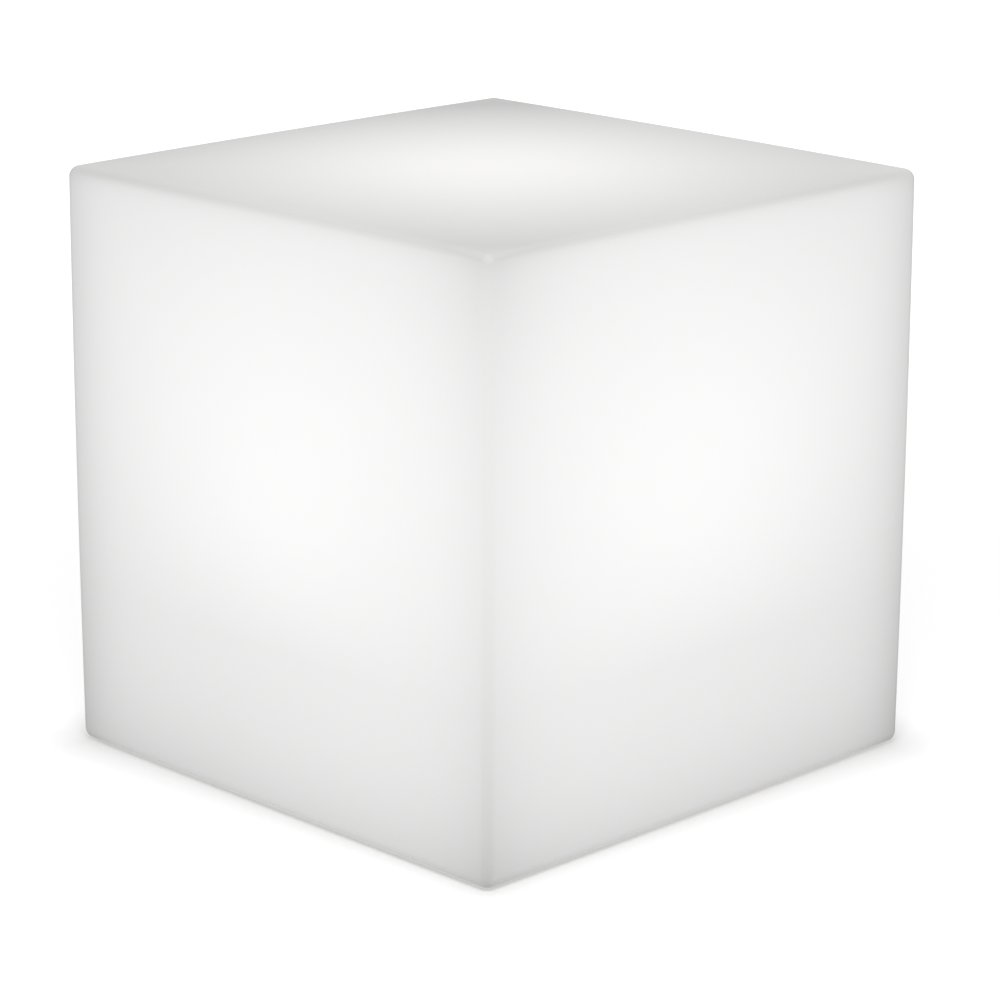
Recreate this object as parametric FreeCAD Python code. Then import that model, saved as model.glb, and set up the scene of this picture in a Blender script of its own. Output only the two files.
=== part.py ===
import FreeCAD, Part

# A battery cube light for a garden or a porch. A hollow cube of white plastic is moulded in one
# piece and lit from inside by a round light unit, which screws up into a threaded collar in the
# middle of the underside. The unit's cap carries what a hand reaches: a bar to turn it by, a push
# button, a charging socket under a hinged rubber cover, a breather and a charging light.
#
# Millimetres, +Z up. X runs to the right and Y to the back. The origin is on the ground, under the
# middle of the cube, so the four rubber feet stand on z = 0.

import math
import os

from FreeCAD import Vector

# ---------------------------------------------------------------- cube shell
cube_edge = 400.0            # across the middles of opposite faces, and the shell's height
shell_wall = 4.0
edge_radius = 8.0            # the rounding of the outer edges and corners
inner_edge_radius = 8.0      # plastic gathers in the corners, so the wall is thicker there
face_crown = 0.8             # how far the middle of a face stands out past the middles of its edges

# ---------------------------------------------------------------- well under the shell
well_depth = 16.0            # keeps the cap and its button off the ground
well_gap = 6.0               # room round the collar's flange
well_mouth_radius = 3.0
well_ceiling_radius = 2.0

# ---------------------------------------------------------------- rubber feet
foot_diameter = 26.0
foot_thickness = 4.0
foot_proud = 1.5             # how far a foot stands out below the shell
foot_inset = 36.0            # from the side of the cube to the middle of a foot
foot_stem_diameter = 8.0
foot_stem_length = 8.0
foot_rounding = 0.8
foot_clearance = 0.2
rib_sink = 1.0               # how deep a rib, post or boss is sunk into what carries it
same_level = 1e-6            # levels that differ by less than this are one level

# ---------------------------------------------------------------- screw thread of the light unit
thread_pitch = 8.0
thread_turns = 1.5
thread_depth = 1.6
thread_root_width = 2.6
thread_crest_width = 1.6
thread_gap = 0.4             # from a ridge's crest to the wall it faces
flank_gap = 0.3              # between the ridges that carry the unit
thread_lead_in = 6.0         # from the collar's face to the start of the ridges
thread_margin = 4.0          # of plain bore above them
thread_bury = 1.0            # how deep a ridge's root is sunk into its wall

# ---------------------------------------------------------------- collar in the shell
collar_wall = 3.5
collar_flange_width = 15.5
collar_flange_thickness = 4.0
collar_rounding = 1.0
port_clearance = 0.5
gasket_thickness = 1.5
collar_screw_count = 6
collar_screw_length = 12.0
insert_radius = 4.0
insert_length = 9.0
insert_bore_depth = 8.0

# ---------------------------------------------------------------- light unit: cap and cup
cup_radius = 48.0
cup_wall = 4.0
cap_flange_width = 8.0
cap_floor_thickness = 4.0
cap_rounding = 1.2
seal_thickness = 2.0
seal_width = 3.0
seal_inset = 1.0             # from the collar's bore to the seal
pocket_length = 40.0         # finger pockets, one each side of the grip bar
pocket_depth = 12.0
pocket_roof = 2.0
pocket_corner = 6.0
pocket_end_flat = 1.0        # least half-length of the flat at a pocket's end
grip_bar_width = 10.0

# ---------------------------------------------------------------- push button and its switch
button_edge_gap = 0.6        # from the boot's foot to the cup's wall, and to the finger pocket's wall
button_radius = 6.7
button_gap = 0.3
button_proud = 1.2
button_flange_radius = 8.2
button_flange_thickness = 1.2
button_stem_radius = 3.0
button_rounding = 0.8
button_travel = 1.0
boot_gap = 0.8               # from the button's flange to the boot's wall
boot_wall = 0.8
boot_foot_width = 1.2
boot_headroom = 2.0          # above the button's flange when it is at rest
switch_side = 7.0
switch_height = 3.8
plunger_radius = 1.7
plunger_length = 1.2
plunger_gap = 0.2

# ---------------------------------------------------------------- charging socket and its cover
socket_side = 10.0
socket_corner = 1.0
socket_bore_radius = 3.15
socket_bore_depth = 10.0
socket_pin_radius = 1.0
socket_pin_set_back = 3.5
socket_pin_rounding = 0.8
socket_hole_radius = 4.2
cover_radius = 7.6
cover_thickness = 2.4
cover_recess_depth = 1.6
cover_gap = 0.4
cover_nose_radius = 2.8
cover_nose_tip_radius = 1.6
cover_nose_depth = 2.0       # how far the nose reaches into the socket's bore
cover_hinge_reach = 9.0      # from the middle of the cover to its hinge line
cover_neck_width = 6.0
tether_length = 8.0
tether_edge_gap = 6.0        # from the tether's end to the cap's rim
tether_peg_radius = 2.0
tether_peg_length = 2.0
tab_width = 5.0              # of the lip that a fingernail lifts
tab_reach = 2.0
tab_thickness = 1.1
tab_gap = 0.3

# ---------------------------------------------------------------- breather and charging light
vent_edge_gap = 5.4          # from the breather's nut to the cup's wall
vent_head_radius = 5.5
vent_head_thickness = 1.2
vent_stem_radius = 3.85
vent_bore_radius = 1.5
vent_clearance = 0.15
vent_nut_thickness = 2.0
vent_nut_radius = 5.6
vent_stem_spare = 1.0        # of stem past the nut
vent_slot_radius = 0.5
vent_slot_ring = 0.9
vent_slot_count = 4
vent_skin = 0.6              # of the head over the bore, where the slots are
vent_rounding = 0.5
pipe_edge_gap = 8.4          # from the light pipe's flange to the cup's wall
pipe_radius = 1.5
pipe_clearance = 0.1
pipe_flange_radius = 2.6
pipe_flange_thickness = 1.0
pipe_top_gap = 0.6           # below the small lamp that it carries the light of
status_lamp_height = 1.2
status_lamp_side = 3.0

# ---------------------------------------------------------------- control board
board_height = 14.0          # from the cap's floor to the underside of the board
board_thickness = 1.6
board_edge_gap = 2.0
board_notch_gap = 0.5        # round the plate's tabs as the board goes down past them
post_inset = 4.95            # from the board's edge to the middle of a post
post_tray_gap = 2.75         # from the head of the tray's screw on a post to the tray's wall
post_radius = 3.5
post_hole_depth = 8.0
board_chips = (              # width, depth, height, x and y of each
    (10.0, 6.0, 1.8, -12.0, 8.0),
    (7.0, 7.0, 1.6, 8.0, 10.0),
    (7.5, 7.5, 3.6, 14.0, -8.0),
    (5.0, 4.0, 1.4, -4.0, -8.0),
    (6.3, 3.2, 1.0, -18.0, -10.0),
    (4.0, 4.0, 2.0, 0.0, 22.0),
)
capacitor_radius = 2.5
capacitor_height = 5.0
capacitor_y = -30.0
capacitor_xs = (-8.0, -2.0)
machine_screw_radius = 1.5
screw_clearance = 0.1
standoff_height = 6.0
standoff_corner_radius = 3.1
standoff_stud_length = 6.0
standoff_hole_depth = 4.8

# ---------------------------------------------------------------- battery and its tray
cell_radius = 9.2
cell_nub_radius = 2.9
cell_nub_length = 1.0
cell_rounding = 0.7
cell_gap = 0.8               # between the two cells
tray_floor = 2.0
tray_end_wall = 2.5
tray_side_wall = 1.6
tray_side_gap = 0.3
tray_wall_rise = 10.0        # from the tray's floor to the top of its walls
tray_corner_gap = 2.73       # from the tray's corners to the cup's wall, which sets the cells' length
tray_ear_radius = 4.5
tray_screw_length = 6.0
contact_thickness = 0.6
contact_width = 10.0
contact_rise = 4.5           # above the middle of the cell
contact_tail_width = 3.0
contact_slot_gap = 0.3
strap_width = 12.0
strap_thickness = 1.2
strap_gap = 0.2
strap_leg = 6.0              # how far the strap's legs reach down the tray's walls
strap_catch_radius = 1.6

# ---------------------------------------------------------------- lamp plate, board and dome
plate_headroom = 3.0         # from the battery strap to the lamp plate
plate_thickness = 2.5
plate_edge_gap = 0.4
plate_screw_gap = 0.45       # from the heads of the plate's screws to the dome
plate_tab_width = 9.0
plate_tab_ear_gap = 0.6      # to the ears of the battery tray, which go down between the tabs
plate_tab_depth = 8.0
plate_tab_reach = 4.0        # from the screw's axis inwards
plate_screw_length = 8.0
lamp_board_gap = 2.25        # from the lamp board to the same heads
lamp_board_thickness = 1.6
lamp_board_screw_count = 3
lamp_board_screw_radius = 1.25
lamp_side = 5.0
lamp_height = 1.5
lamp_lens_radius = 2.0
lamp_lens_height = 0.4
outer_ring_inset = 5.0       # from the lamp board's edge to the middle of an outer lamp
outer_ring_count = 12
inner_ring_radius = 12.0
inner_ring_count = 6
dome_wall = 2.0
dome_side = 8.0              # the straight part above its flange
dome_rise = 20.0             # of the domed top
dome_shoulder = 5.0
dome_flange_thickness = 3.0
dome_flange_width = 4.4
dome_flange_gap = 0.4        # inside the cup's outer wall
dome_gasket_thickness = 1.0
dome_gasket_inset = 0.3
dome_screw_count = 6
dome_screw_radius = 1.0
dome_screw_head_radius = 1.75
dome_screw_length = 10.0
screw_hole_spare = 1.0       # of hole past a screw's tip

# ---------------------------------------------------------------- lead between the two boards
lead_radius = 1.5
lead_tab_gap = 1.4           # from the lead's plug to the nearest of the plate's tabs
lead_loop_height = 14.0      # of its highest run above the lamp board
lead_crest = 3.0             # of level run at the top of its loop
plug_length = 8.0
plug_depth = 5.0
board_plug_height = 6.0
lamp_plug_height = 5.0
grommet_lip = 0.8
grommet_wall = 1.6
grommet_clearance = 0.2

# ---------------------------------------------------------------- screw heads
collar_screw_radius = 2.0
collar_screw_head_radius = 4.0
collar_screw_head_height = 2.4
machine_screw_head_radius = 2.75
machine_screw_head_height = 1.8
small_head_radius = 2.2
small_head_height = 1.5
cross_width = 0.25           # of a head's cross recess, as a share of the head's radius
cross_reach = 0.6            # half the recess's length, as a share of the same
cross_depth = 0.55           # as a share of the head's height
head_rounding = 0.6          # as a share of the head's height

# ---------------------------------------------------------------- levels, from the ground up
shell_bottom = foot_proud
shell_top = shell_bottom + cube_edge
foot_top = shell_bottom + foot_thickness - foot_proud
well_ceiling = shell_bottom + well_depth
collar_face = well_ceiling - gasket_thickness - collar_flange_thickness
cap_flange_top = collar_face - seal_thickness
cap_face = cap_flange_top - cap_floor_thickness
floor_top = cap_flange_top
thread_start = collar_face + thread_lead_in
collar_top = thread_start + thread_pitch * thread_turns + thread_margin
board_low = floor_top + board_height
board_top = board_low + board_thickness
tray_low = board_top + standoff_height
tray_top = tray_low + tray_floor
cell_axis = tray_top + cell_radius
cell_top = cell_axis + cell_radius
strap_low = cell_top + strap_gap
plate_low = strap_low + strap_thickness + plate_headroom
cup_top = plate_low + plate_thickness
lamp_board_top = cup_top + lamp_board_thickness
dome_flange_low = cup_top + dome_gasket_thickness
dome_flange_top = dome_flange_low + dome_flange_thickness
dome_shoulder_level = dome_flange_top + dome_side
switch_low = board_low - switch_height
button_face = cap_face - button_proud
cover_low = cap_face + cover_recess_depth - cover_thickness
cover_high = cap_face + cover_recess_depth

# ---------------------------------------------------------------- radii and places worked out
cup_bore = cup_radius - cup_wall
collar_bore = cup_radius + thread_depth + thread_gap
collar_spigot = collar_bore + collar_wall
port_radius = collar_spigot + port_clearance
collar_flange = collar_spigot + collar_flange_width
well_radius = collar_flange + well_gap
cap_flange = cup_radius + cap_flange_width
collar_screw_ring = (cap_flange + collar_flange) / 2
seal_inner = collar_bore + seal_inset
board_radius = cup_bore - board_edge_gap
plate_radius = cup_bore - plate_edge_gap
boot_inside = button_flange_radius + boot_gap
boot_outside = boot_inside + boot_wall
boot_foot = boot_outside + boot_foot_width / 2
button_y = button_edge_gap + boot_foot - cup_bore
pocket_end = -button_y - boot_foot - button_edge_gap - pocket_roof
pocket_width = pocket_end - grip_bar_width / 2
pocket_y = (grip_bar_width + pocket_width) / 2
pocket_bend = min(pocket_corner, pocket_width / 2 - pocket_end_flat)
tether_end = cap_flange - tether_edge_gap
cover_hinge_y = tether_end - tether_length
socket_y = cover_hinge_y - cover_hinge_reach
vent_x = vent_nut_radius + vent_edge_gap - cup_bore
pipe_x = cup_bore - pipe_edge_gap - pipe_flange_radius
cell_y = cell_radius + cell_gap / 2
tray_inside_y = cell_y + cell_radius + tray_side_gap
tray_outside_y = tray_inside_y + tray_side_wall
tray_outside_x = math.sqrt((cup_bore - tray_corner_gap)**2 - tray_outside_y**2)
tray_inside_x = tray_outside_x - tray_end_wall
cell_body_length = 2 * (tray_inside_x - contact_thickness) - cell_nub_length
post_y = tray_outside_y + post_tray_gap + machine_screw_head_radius
post_x = math.sqrt((board_radius - post_inset)**2 - post_y**2)
post_places = [(x * post_x, y * post_y) for x in (-1, 1) for y in (-1, 1)]
dome_flange = cup_radius - dome_flange_gap
dome_radius = dome_flange - dome_flange_width
dome_screw_ring = cup_radius - cup_wall / 2
plate_screw_ring = dome_radius - dome_wall - plate_screw_gap - machine_screw_head_radius
lamp_board_radius = plate_screw_ring - machine_screw_head_radius - lamp_board_gap
outer_ring_radius = lamp_board_radius - outer_ring_inset
lamp_board_screw_ring = (inner_ring_radius + outer_ring_radius) / 2
plate_tab_angle = math.degrees(math.atan2(post_y, post_x) + math.asin(
    (plate_tab_width / 2 + plate_tab_ear_gap + tray_ear_radius) / math.hypot(post_x, post_y)))
lead_ring = plate_screw_ring
lead_angle = -plate_tab_angle - math.degrees(math.asin(
    (plate_tab_width / 2 + lead_tab_gap + plug_length / 2) / lead_ring))
lead_bend_radius = (lead_ring - lamp_board_screw_ring - lead_crest) / 2
foot_place = cube_edge / 2 - foot_inset


# ---------------------------------------------------------------- simple solids
def disc(radius, low, high, x=0.0, y=0.0):
    """An upright cylinder between two levels."""
    return Part.makeCylinder(radius, high - low, Vector(x, y, low))


def ring(outer, inner, low, high, x=0.0, y=0.0):
    """An upright cylinder with a hole through it."""
    return disc(outer, low, high, x, y).cut(disc(inner, low, high, x, y))


def block(width, depth, low, high, x=0.0, y=0.0):
    """An upright box, centred on x and y."""
    return Part.makeBox(width, depth, high - low, Vector(x - width / 2, y - depth / 2, low))


def soft_block(width, depth, low, high, corner, x=0.0, y=0.0):
    """A block whose four upright edges are rounded."""
    solid = block(width, depth, low, high, x, y)
    upright = [edge for edge in solid.Edges if abs(edge.tangentAt(edge.FirstParameter).z) > 0.5]
    return solid.makeFillet(corner, upright)


def hexagon(corner_radius, low, high, x=0.0, y=0.0):
    """An upright hexagonal bar."""
    corners = [Vector(x + corner_radius * math.cos(math.radians(60 * k)),
                      y + corner_radius * math.sin(math.radians(60 * k)), low) for k in range(7)]
    return Part.Face(Part.makePolygon(corners)).extrude(Vector(0, 0, high - low))


def turned(outline):
    """The solid of an outline in the XZ plane, a list of edges, turned about the Z axis."""
    return Part.Face(Part.Wire(outline)).revolve(Vector(0, 0, 0), Vector(0, 0, 1), 360)


def line(start, end):
    """A straight edge between two (radius, level) points."""
    return Part.makeLine(Vector(start[0], 0, start[1]), Vector(end[0], 0, end[1]))


def arc(start, middle, end):
    """An arc through three (radius, level) points."""
    points = [Vector(radius, 0, level) for radius, level in (start, middle, end)]
    return Part.Arc(*points).toShape()


def quarter(centre, radius, from_angle):
    """A quarter circle in the XZ plane that starts at from_angle, in degrees, and turns left."""
    points = []
    for step in (0, 45, 90):
        angle = math.radians(from_angle + step)
        points.append((centre[0] + radius * math.cos(angle), centre[1] + radius * math.sin(angle)))
    return arc(*points)


def places_round(count, radius, first_angle=0.0):
    """(x, y) of count places spaced evenly on a circle about the axis."""
    angles = [math.radians(first_angle + 360.0 * k / count) for k in range(count)]
    return [(radius * math.cos(a), radius * math.sin(a)) for a in angles]


def joined(solids):
    """One solid out of several that overlap."""
    whole = solids[0].fuse(solids[1:])
    return whole.removeSplitter()


def loose(solids):
    """Several separate solids kept together as one piece."""
    return Part.makeCompound(solids)


def edges_at(solid, level):
    """The edges of a solid that lie wholly at one level."""
    return [e for e in solid.Edges if max(abs(v.Z - level) for v in e.Vertexes) < same_level
            and abs(e.BoundBox.ZMax - e.BoundBox.ZMin) < same_level]


def pan_screw(radius, length, head_radius, head_height, head_level, x, y, up):
    """A cross-recessed pan-head screw. Its shank points up or down from head_level."""
    head = disc(head_radius, 0, head_height)
    head = head.makeFillet(head_height * head_rounding, edges_at(head, head_height))
    reach = head_radius * cross_reach * 2
    width = head_radius * cross_width
    depth = head_height * cross_depth
    for size_x, size_y in ((reach, width), (width, reach)):
        head = head.cut(block(size_x, size_y, head_height - depth, head_height))
    screw = head.fuse(disc(radius, -length, 0)).removeSplitter()
    if up:
        screw.rotate(Vector(0, 0, 0), Vector(1, 0, 0), 180)
    screw.translate(Vector(x, y, head_level))
    return screw


# ---------------------------------------------------------------- shell, feet and collar
def crowned_block(half, low, high, rounding):
    """A cube with a flat underside, whose sides and top are shallow parts of large spheres."""
    ball_radius = (half**2 + face_crown**2) / (2 * face_crown)
    spare = 10 * face_crown
    solid = block(2 * (half + spare), 2 * (half + spare), low, high + spare)
    middle = Vector(0, 0, (low + high) / 2)
    for x, y, z in ((1, 0, 0), (-1, 0, 0), (0, 1, 0), (0, -1, 0), (0, 0, 1)):
        outwards = Vector(x, y, z)
        reach = high - middle.z if z else half
        ball = Part.makeSphere(ball_radius)
        ball.Placement = FreeCAD.Placement(
            middle + outwards * (reach - ball_radius),
            FreeCAD.Rotation(Vector(-1, 0, 0), outwards))
        solid = solid.common(ball)
    return solid.makeFillet(rounding, solid.Edges)


def foot_places():
    """(x, y) of the four feet."""
    return [(x * foot_place, y * foot_place) for x in (-1, 1) for y in (-1, 1)]


def well_cutter():
    """The space under the shell that holds the collar and the cap."""
    mouth = well_radius + well_mouth_radius
    below = shell_bottom - well_mouth_radius
    return turned([
        line((0, below), (mouth, below)),
        line((mouth, below), (mouth, shell_bottom)),
        quarter((mouth, shell_bottom + well_mouth_radius), well_mouth_radius, 180),
        line((well_radius, shell_bottom + well_mouth_radius),
             (well_radius, well_ceiling - well_ceiling_radius)),
        quarter((well_radius - well_ceiling_radius, well_ceiling - well_ceiling_radius),
                well_ceiling_radius, 0),
        line((well_radius - well_ceiling_radius, well_ceiling), (0, well_ceiling)),
        line((0, well_ceiling), (0, below)),
    ])


def cube_shell():
    """The moulded cube, hollow, with its well, port and bosses."""
    half = cube_edge / 2
    outer = crowned_block(half, shell_bottom, shell_top, edge_radius)
    inner = crowned_block(half - shell_wall, shell_bottom + shell_wall, shell_top - shell_wall,
                          inner_edge_radius)
    boss_radius = insert_radius + shell_wall
    insert_top = well_ceiling + insert_length
    stem_radius = foot_stem_diameter / 2
    stem_top = foot_top + foot_stem_length
    screws = places_round(collar_screw_count, collar_screw_ring)
    added = [disc(well_radius + shell_wall, shell_bottom, well_ceiling + shell_wall)]
    added += [disc(boss_radius, well_ceiling, insert_top + shell_wall, x, y) for x, y in screws]
    for x, y in foot_places():
        added.append(disc(foot_diameter / 2 + shell_wall, shell_bottom, foot_top + shell_wall, x, y))
        added.append(disc(stem_radius + shell_wall, foot_top, stem_top + shell_wall, x, y))
    removed = [well_cutter(), disc(port_radius, shell_bottom, well_ceiling + 2 * shell_wall)]
    removed += [disc(insert_radius, well_ceiling, insert_top, x, y) for x, y in screws]
    for x, y in foot_places():
        removed.append(disc(foot_diameter / 2 + foot_clearance, 0, foot_top, x, y))
        removed.append(disc(stem_radius + foot_clearance, foot_top, stem_top, x, y))
    return outer.cut(inner).fuse(added).cut(removed)


def foot(x, y):
    """A rubber foot with a stem that pushes into the shell."""
    pad = disc(foot_diameter / 2, 0, foot_thickness, x, y)
    pad = pad.makeFillet(foot_rounding, edges_at(pad, 0))
    return pad.fuse(disc(foot_stem_diameter / 2, foot_thickness, foot_thickness + foot_stem_length,
                         x, y)).removeSplitter()


def thread_ridge(root, crest, start):
    """A helical ridge from a wall of radius root to a crest of radius crest."""
    outwards = 1 if crest > root else -1
    buried = root - outwards * thread_bury
    slope = (thread_root_width - thread_crest_width) / (2 * thread_depth)
    buried_half = thread_root_width / 2 + slope * thread_bury
    crest_half = thread_crest_width / 2
    corners = [Vector(buried, 0, -buried_half), Vector(crest, 0, -crest_half),
               Vector(crest, 0, crest_half), Vector(buried, 0, buried_half)]
    path = Part.Wire(Part.makeHelix(thread_pitch, thread_pitch * thread_turns, root).Edges)
    ridge = path.makePipeShell([Part.makePolygon(corners + corners[:1])], True, True)
    ridge.translate(Vector(0, 0, start))
    return ridge


def thread_offset():
    """How far the collar's ridge lies below the cap's ridge, so that it carries the unit."""
    narrowing = (thread_root_width - thread_crest_width) / (2 * thread_depth)
    return thread_root_width - narrowing * (collar_bore - cup_radius) + flank_gap


def port_collar():
    """The threaded ring that is screwed into the port."""
    body = disc(collar_flange, collar_face, collar_face + collar_flange_thickness)
    body = body.makeFillet(collar_rounding, edges_at(body, collar_face))
    body = body.fuse(disc(collar_spigot, collar_face, collar_top))
    body = body.cut(disc(collar_bore, collar_face, collar_top))
    body = body.removeSplitter()
    body = body.fuse(thread_ridge(collar_bore, collar_bore - thread_depth,
                                  thread_start - thread_offset()))
    holes = [disc(collar_screw_radius + screw_clearance, collar_face,
                  collar_face + collar_flange_thickness, x, y)
             for x, y in places_round(collar_screw_count, collar_screw_ring)]
    return body.cut(holes)


def collar_gasket():
    """A flat seal between the collar's flange and the ceiling of the well."""
    low = well_ceiling - gasket_thickness
    body = ring(collar_flange, port_radius, low, well_ceiling)
    holes = [disc(collar_screw_radius + screw_clearance, low, well_ceiling, x, y)
             for x, y in places_round(collar_screw_count, collar_screw_ring)]
    return body.cut(holes)


def threaded_inserts():
    """Brass nuts moulded into the ceiling of the well."""
    return loose([
        disc(insert_radius, well_ceiling, well_ceiling + insert_length, x, y).cut(
            disc(collar_screw_radius + screw_clearance, well_ceiling,
                 well_ceiling + insert_bore_depth, x, y))
        for x, y in places_round(collar_screw_count, collar_screw_ring)])


def collar_screws():
    """The screws that hold the collar."""
    return loose([
        pan_screw(collar_screw_radius, collar_screw_length, collar_screw_head_radius,
                  collar_screw_head_height, collar_face, x, y, up=True)
        for x, y in places_round(collar_screw_count, collar_screw_ring)])


def unit_seal():
    """The ring that is squeezed between the collar and the cap."""
    return ring(seal_inner + seal_width, seal_inner, cap_flange_top, collar_face)


# ---------------------------------------------------------------- light unit: cap
def pocket(grow, low, high, side):
    """The space of a finger pocket, or the block that holds it when grow is its wall."""
    return soft_block(pocket_length + 2 * grow, pocket_width + 2 * grow, low, high,
                      pocket_bend + grow, 0, side * pocket_y)


def base_cap():
    """The cap and cup in one moulding: flange, grip, thread, posts and the tabs at its rim."""
    flange = disc(cap_flange, cap_face, cap_flange_top)
    flange = flange.makeFillet(cap_rounding, edges_at(flange, cap_face))
    added = [disc(cup_radius, cap_face, cup_top).cut(disc(cup_bore, floor_top, cup_top))]
    roof = cap_face + pocket_depth + pocket_roof
    added += [pocket(pocket_roof, floor_top - rib_sink, roof, side) for side in (-1, 1)]
    added += [disc(post_radius, floor_top - rib_sink, board_low, x, y) for x, y in post_places]
    added += tab_blocks(0, cup_bore + rib_sink, plate_low - plate_tab_depth, plate_low)
    body = flange.fuse(added).removeSplitter()
    body = body.fuse(thread_ridge(cup_radius, cup_radius + thread_depth, thread_start))
    removed = [pocket(0, cap_face, cap_face + pocket_depth, side) for side in (-1, 1)]
    removed.append(disc(button_radius + button_gap, cap_face, floor_top, 0, button_y))
    removed.append(disc(socket_hole_radius, cap_face, floor_top, 0, socket_y))
    removed += cover_recess()
    removed.append(disc(vent_stem_radius + vent_clearance, cap_face, floor_top, vent_x, 0))
    removed.append(disc(pipe_radius + pipe_clearance, cap_face, floor_top, pipe_x, 0))
    removed += [disc(machine_screw_radius + screw_clearance, board_low - post_hole_depth, board_low,
                     x, y) for x, y in post_places]
    removed += [disc(machine_screw_radius + screw_clearance, plate_low - plate_tab_depth, plate_low,
                     x, y) for x, y in plate_screw_places()]
    dome_hole_low = dome_flange_top - dome_screw_length - screw_hole_spare
    removed += [disc(dome_screw_radius + screw_clearance, dome_hole_low, cup_top, x, y)
                for x, y in dome_screw_places()]
    return body.cut(removed)


def plate_tab_angles():
    """The directions of the four tabs, alike in each quarter, in degrees from +X."""
    return [plate_tab_angle, 180.0 - plate_tab_angle, 180.0 + plate_tab_angle, -plate_tab_angle]


def plate_screw_places():
    """(x, y) of the plate's screws, one over each tab."""
    angles = [math.radians(angle) for angle in plate_tab_angles()]
    return [(plate_screw_ring * math.cos(a), plate_screw_ring * math.sin(a)) for a in angles]


def tab_blocks(gap, outside, low, high):
    """A radial block at each tab, out to a radius, and larger than the tab by a gap."""
    inside = plate_screw_ring - plate_tab_reach - gap
    blocks = []
    for angle in plate_tab_angles():
        solid = block(outside - inside, plate_tab_width + 2 * gap, low, high, (inside + outside) / 2)
        solid.rotate(Vector(0, 0, 0), Vector(0, 0, 1), angle)
        blocks.append(solid)
    return blocks


def cover_recess():
    """What is sunk into the cap's face for the socket's cover and its tether."""
    neck = cover_neck_width + 2 * cover_gap
    recess_end = tether_end + cover_gap
    return [
        disc(cover_radius + cover_gap, cap_face, cover_high, 0, socket_y),
        block(neck, recess_end - socket_y, cap_face, cover_high, 0, (socket_y + recess_end) / 2),
        disc(tether_peg_radius, cover_high, cover_high + tether_peg_length, 0, tether_peg_y()),
    ]


def tether_peg_y():
    """Where the tether is pegged into the cap's flange."""
    return cover_hinge_y + tether_length / 2


# ---------------------------------------------------------------- button, socket, breather, light
def power_button():
    """The push button: its face, the flange that keeps it in and the stem to the switch."""
    face = disc(button_radius, button_face, floor_top, 0, button_y)
    face = face.makeFillet(button_rounding, edges_at(face, button_face))
    flange_top = floor_top + button_flange_thickness
    flange = disc(button_flange_radius, floor_top, flange_top, 0, button_y)
    stem = disc(button_stem_radius, flange_top, switch_low + plunger_gap - plunger_length,
                0, button_y)
    return joined([face, flange, stem])


def button_boot():
    """A soft rubber bell that keeps water off the switch. The stem passes through its top."""
    top = floor_top + button_flange_thickness + boot_headroom + boot_wall
    foot_ring = ring(boot_foot, boot_inside, floor_top, floor_top + boot_wall, 0, button_y)
    bell = ring(boot_outside, boot_inside, floor_top, top, 0, button_y)
    roof = ring(boot_outside, button_stem_radius + button_gap, top - boot_wall, top, 0, button_y)
    return joined([foot_ring, bell, roof])


def switch_body():
    """The small push switch under the control board."""
    bore = disc(plunger_radius + plunger_gap, switch_low,
                switch_low + button_travel + 2 * plunger_gap, 0, button_y)
    return block(switch_side, switch_side, switch_low, board_low, 0, button_y).cut(bore)


def switch_plunger():
    """The switch's moving pin, which the button's stem pushes."""
    high = switch_low + plunger_gap
    return disc(plunger_radius, high - plunger_length, high, 0, button_y)


def charge_socket():
    """The round charging socket under the board, with its mouth on the cap's floor."""
    body = soft_block(socket_side, socket_side, floor_top, board_low, socket_corner, 0, socket_y)
    return body.cut(disc(socket_bore_radius, floor_top, floor_top + socket_bore_depth, 0, socket_y))


def socket_pin():
    """The socket's centre contact."""
    top = floor_top + socket_bore_depth
    pin = disc(socket_pin_radius, floor_top + socket_pin_set_back, top, 0, socket_y)
    return pin.makeFillet(socket_pin_rounding, edges_at(pin, floor_top + socket_pin_set_back))


def charge_cover():
    """The rubber cover that plugs the socket, up to its hinge line."""
    lid = disc(cover_radius, cover_low, cover_high, 0, socket_y)
    neck = block(cover_neck_width, cover_hinge_reach, cover_low, cover_high,
                 0, (socket_y + cover_hinge_y) / 2)
    nose = disc(cover_nose_radius, cover_high, floor_top, 0, socket_y)
    tip = Part.makeCone(cover_nose_radius, cover_nose_tip_radius, cover_nose_depth,
                        Vector(0, socket_y, floor_top))
    reach = cover_radius + tab_reach
    tab = block(tab_width, reach, cap_face - tab_gap - tab_thickness, cap_face - tab_gap,
                0, socket_y - reach / 2)
    return joined([lid, neck, nose, tip, tab])


def cover_tether():
    """The cover's strap, pegged into the cap's flange beyond the hinge line."""
    strap = block(cover_neck_width, tether_length, cover_low, cover_high,
                  0, cover_hinge_y + tether_length / 2)
    peg = disc(tether_peg_radius, cover_high, cover_high + tether_peg_length, 0, tether_peg_y())
    return strap.fuse(peg).removeSplitter()


def breather_vent():
    """A breather that lets the warm air out and keeps water from being drawn in."""
    head = disc(vent_head_radius, cap_face - vent_head_thickness, cap_face, vent_x)
    head = head.makeFillet(vent_rounding, edges_at(head, cap_face - vent_head_thickness))
    top = floor_top + vent_nut_thickness + vent_stem_spare
    stem = disc(vent_stem_radius, cap_face, top, vent_x)
    bore = disc(vent_bore_radius, cap_face - vent_head_thickness + vent_skin, top, vent_x)
    slots = [disc(vent_slot_radius, cap_face - vent_head_thickness, cap_face, vent_x + x, y)
             for x, y in places_round(vent_slot_count, vent_slot_ring)]
    return head.fuse(stem).removeSplitter().cut([bore] + slots)


def vent_nut():
    """The nut that holds the breather."""
    return hexagon(vent_nut_radius, floor_top, floor_top + vent_nut_thickness, vent_x).cut(
        disc(vent_stem_radius + screw_clearance, floor_top, floor_top + vent_nut_thickness, vent_x))


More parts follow.
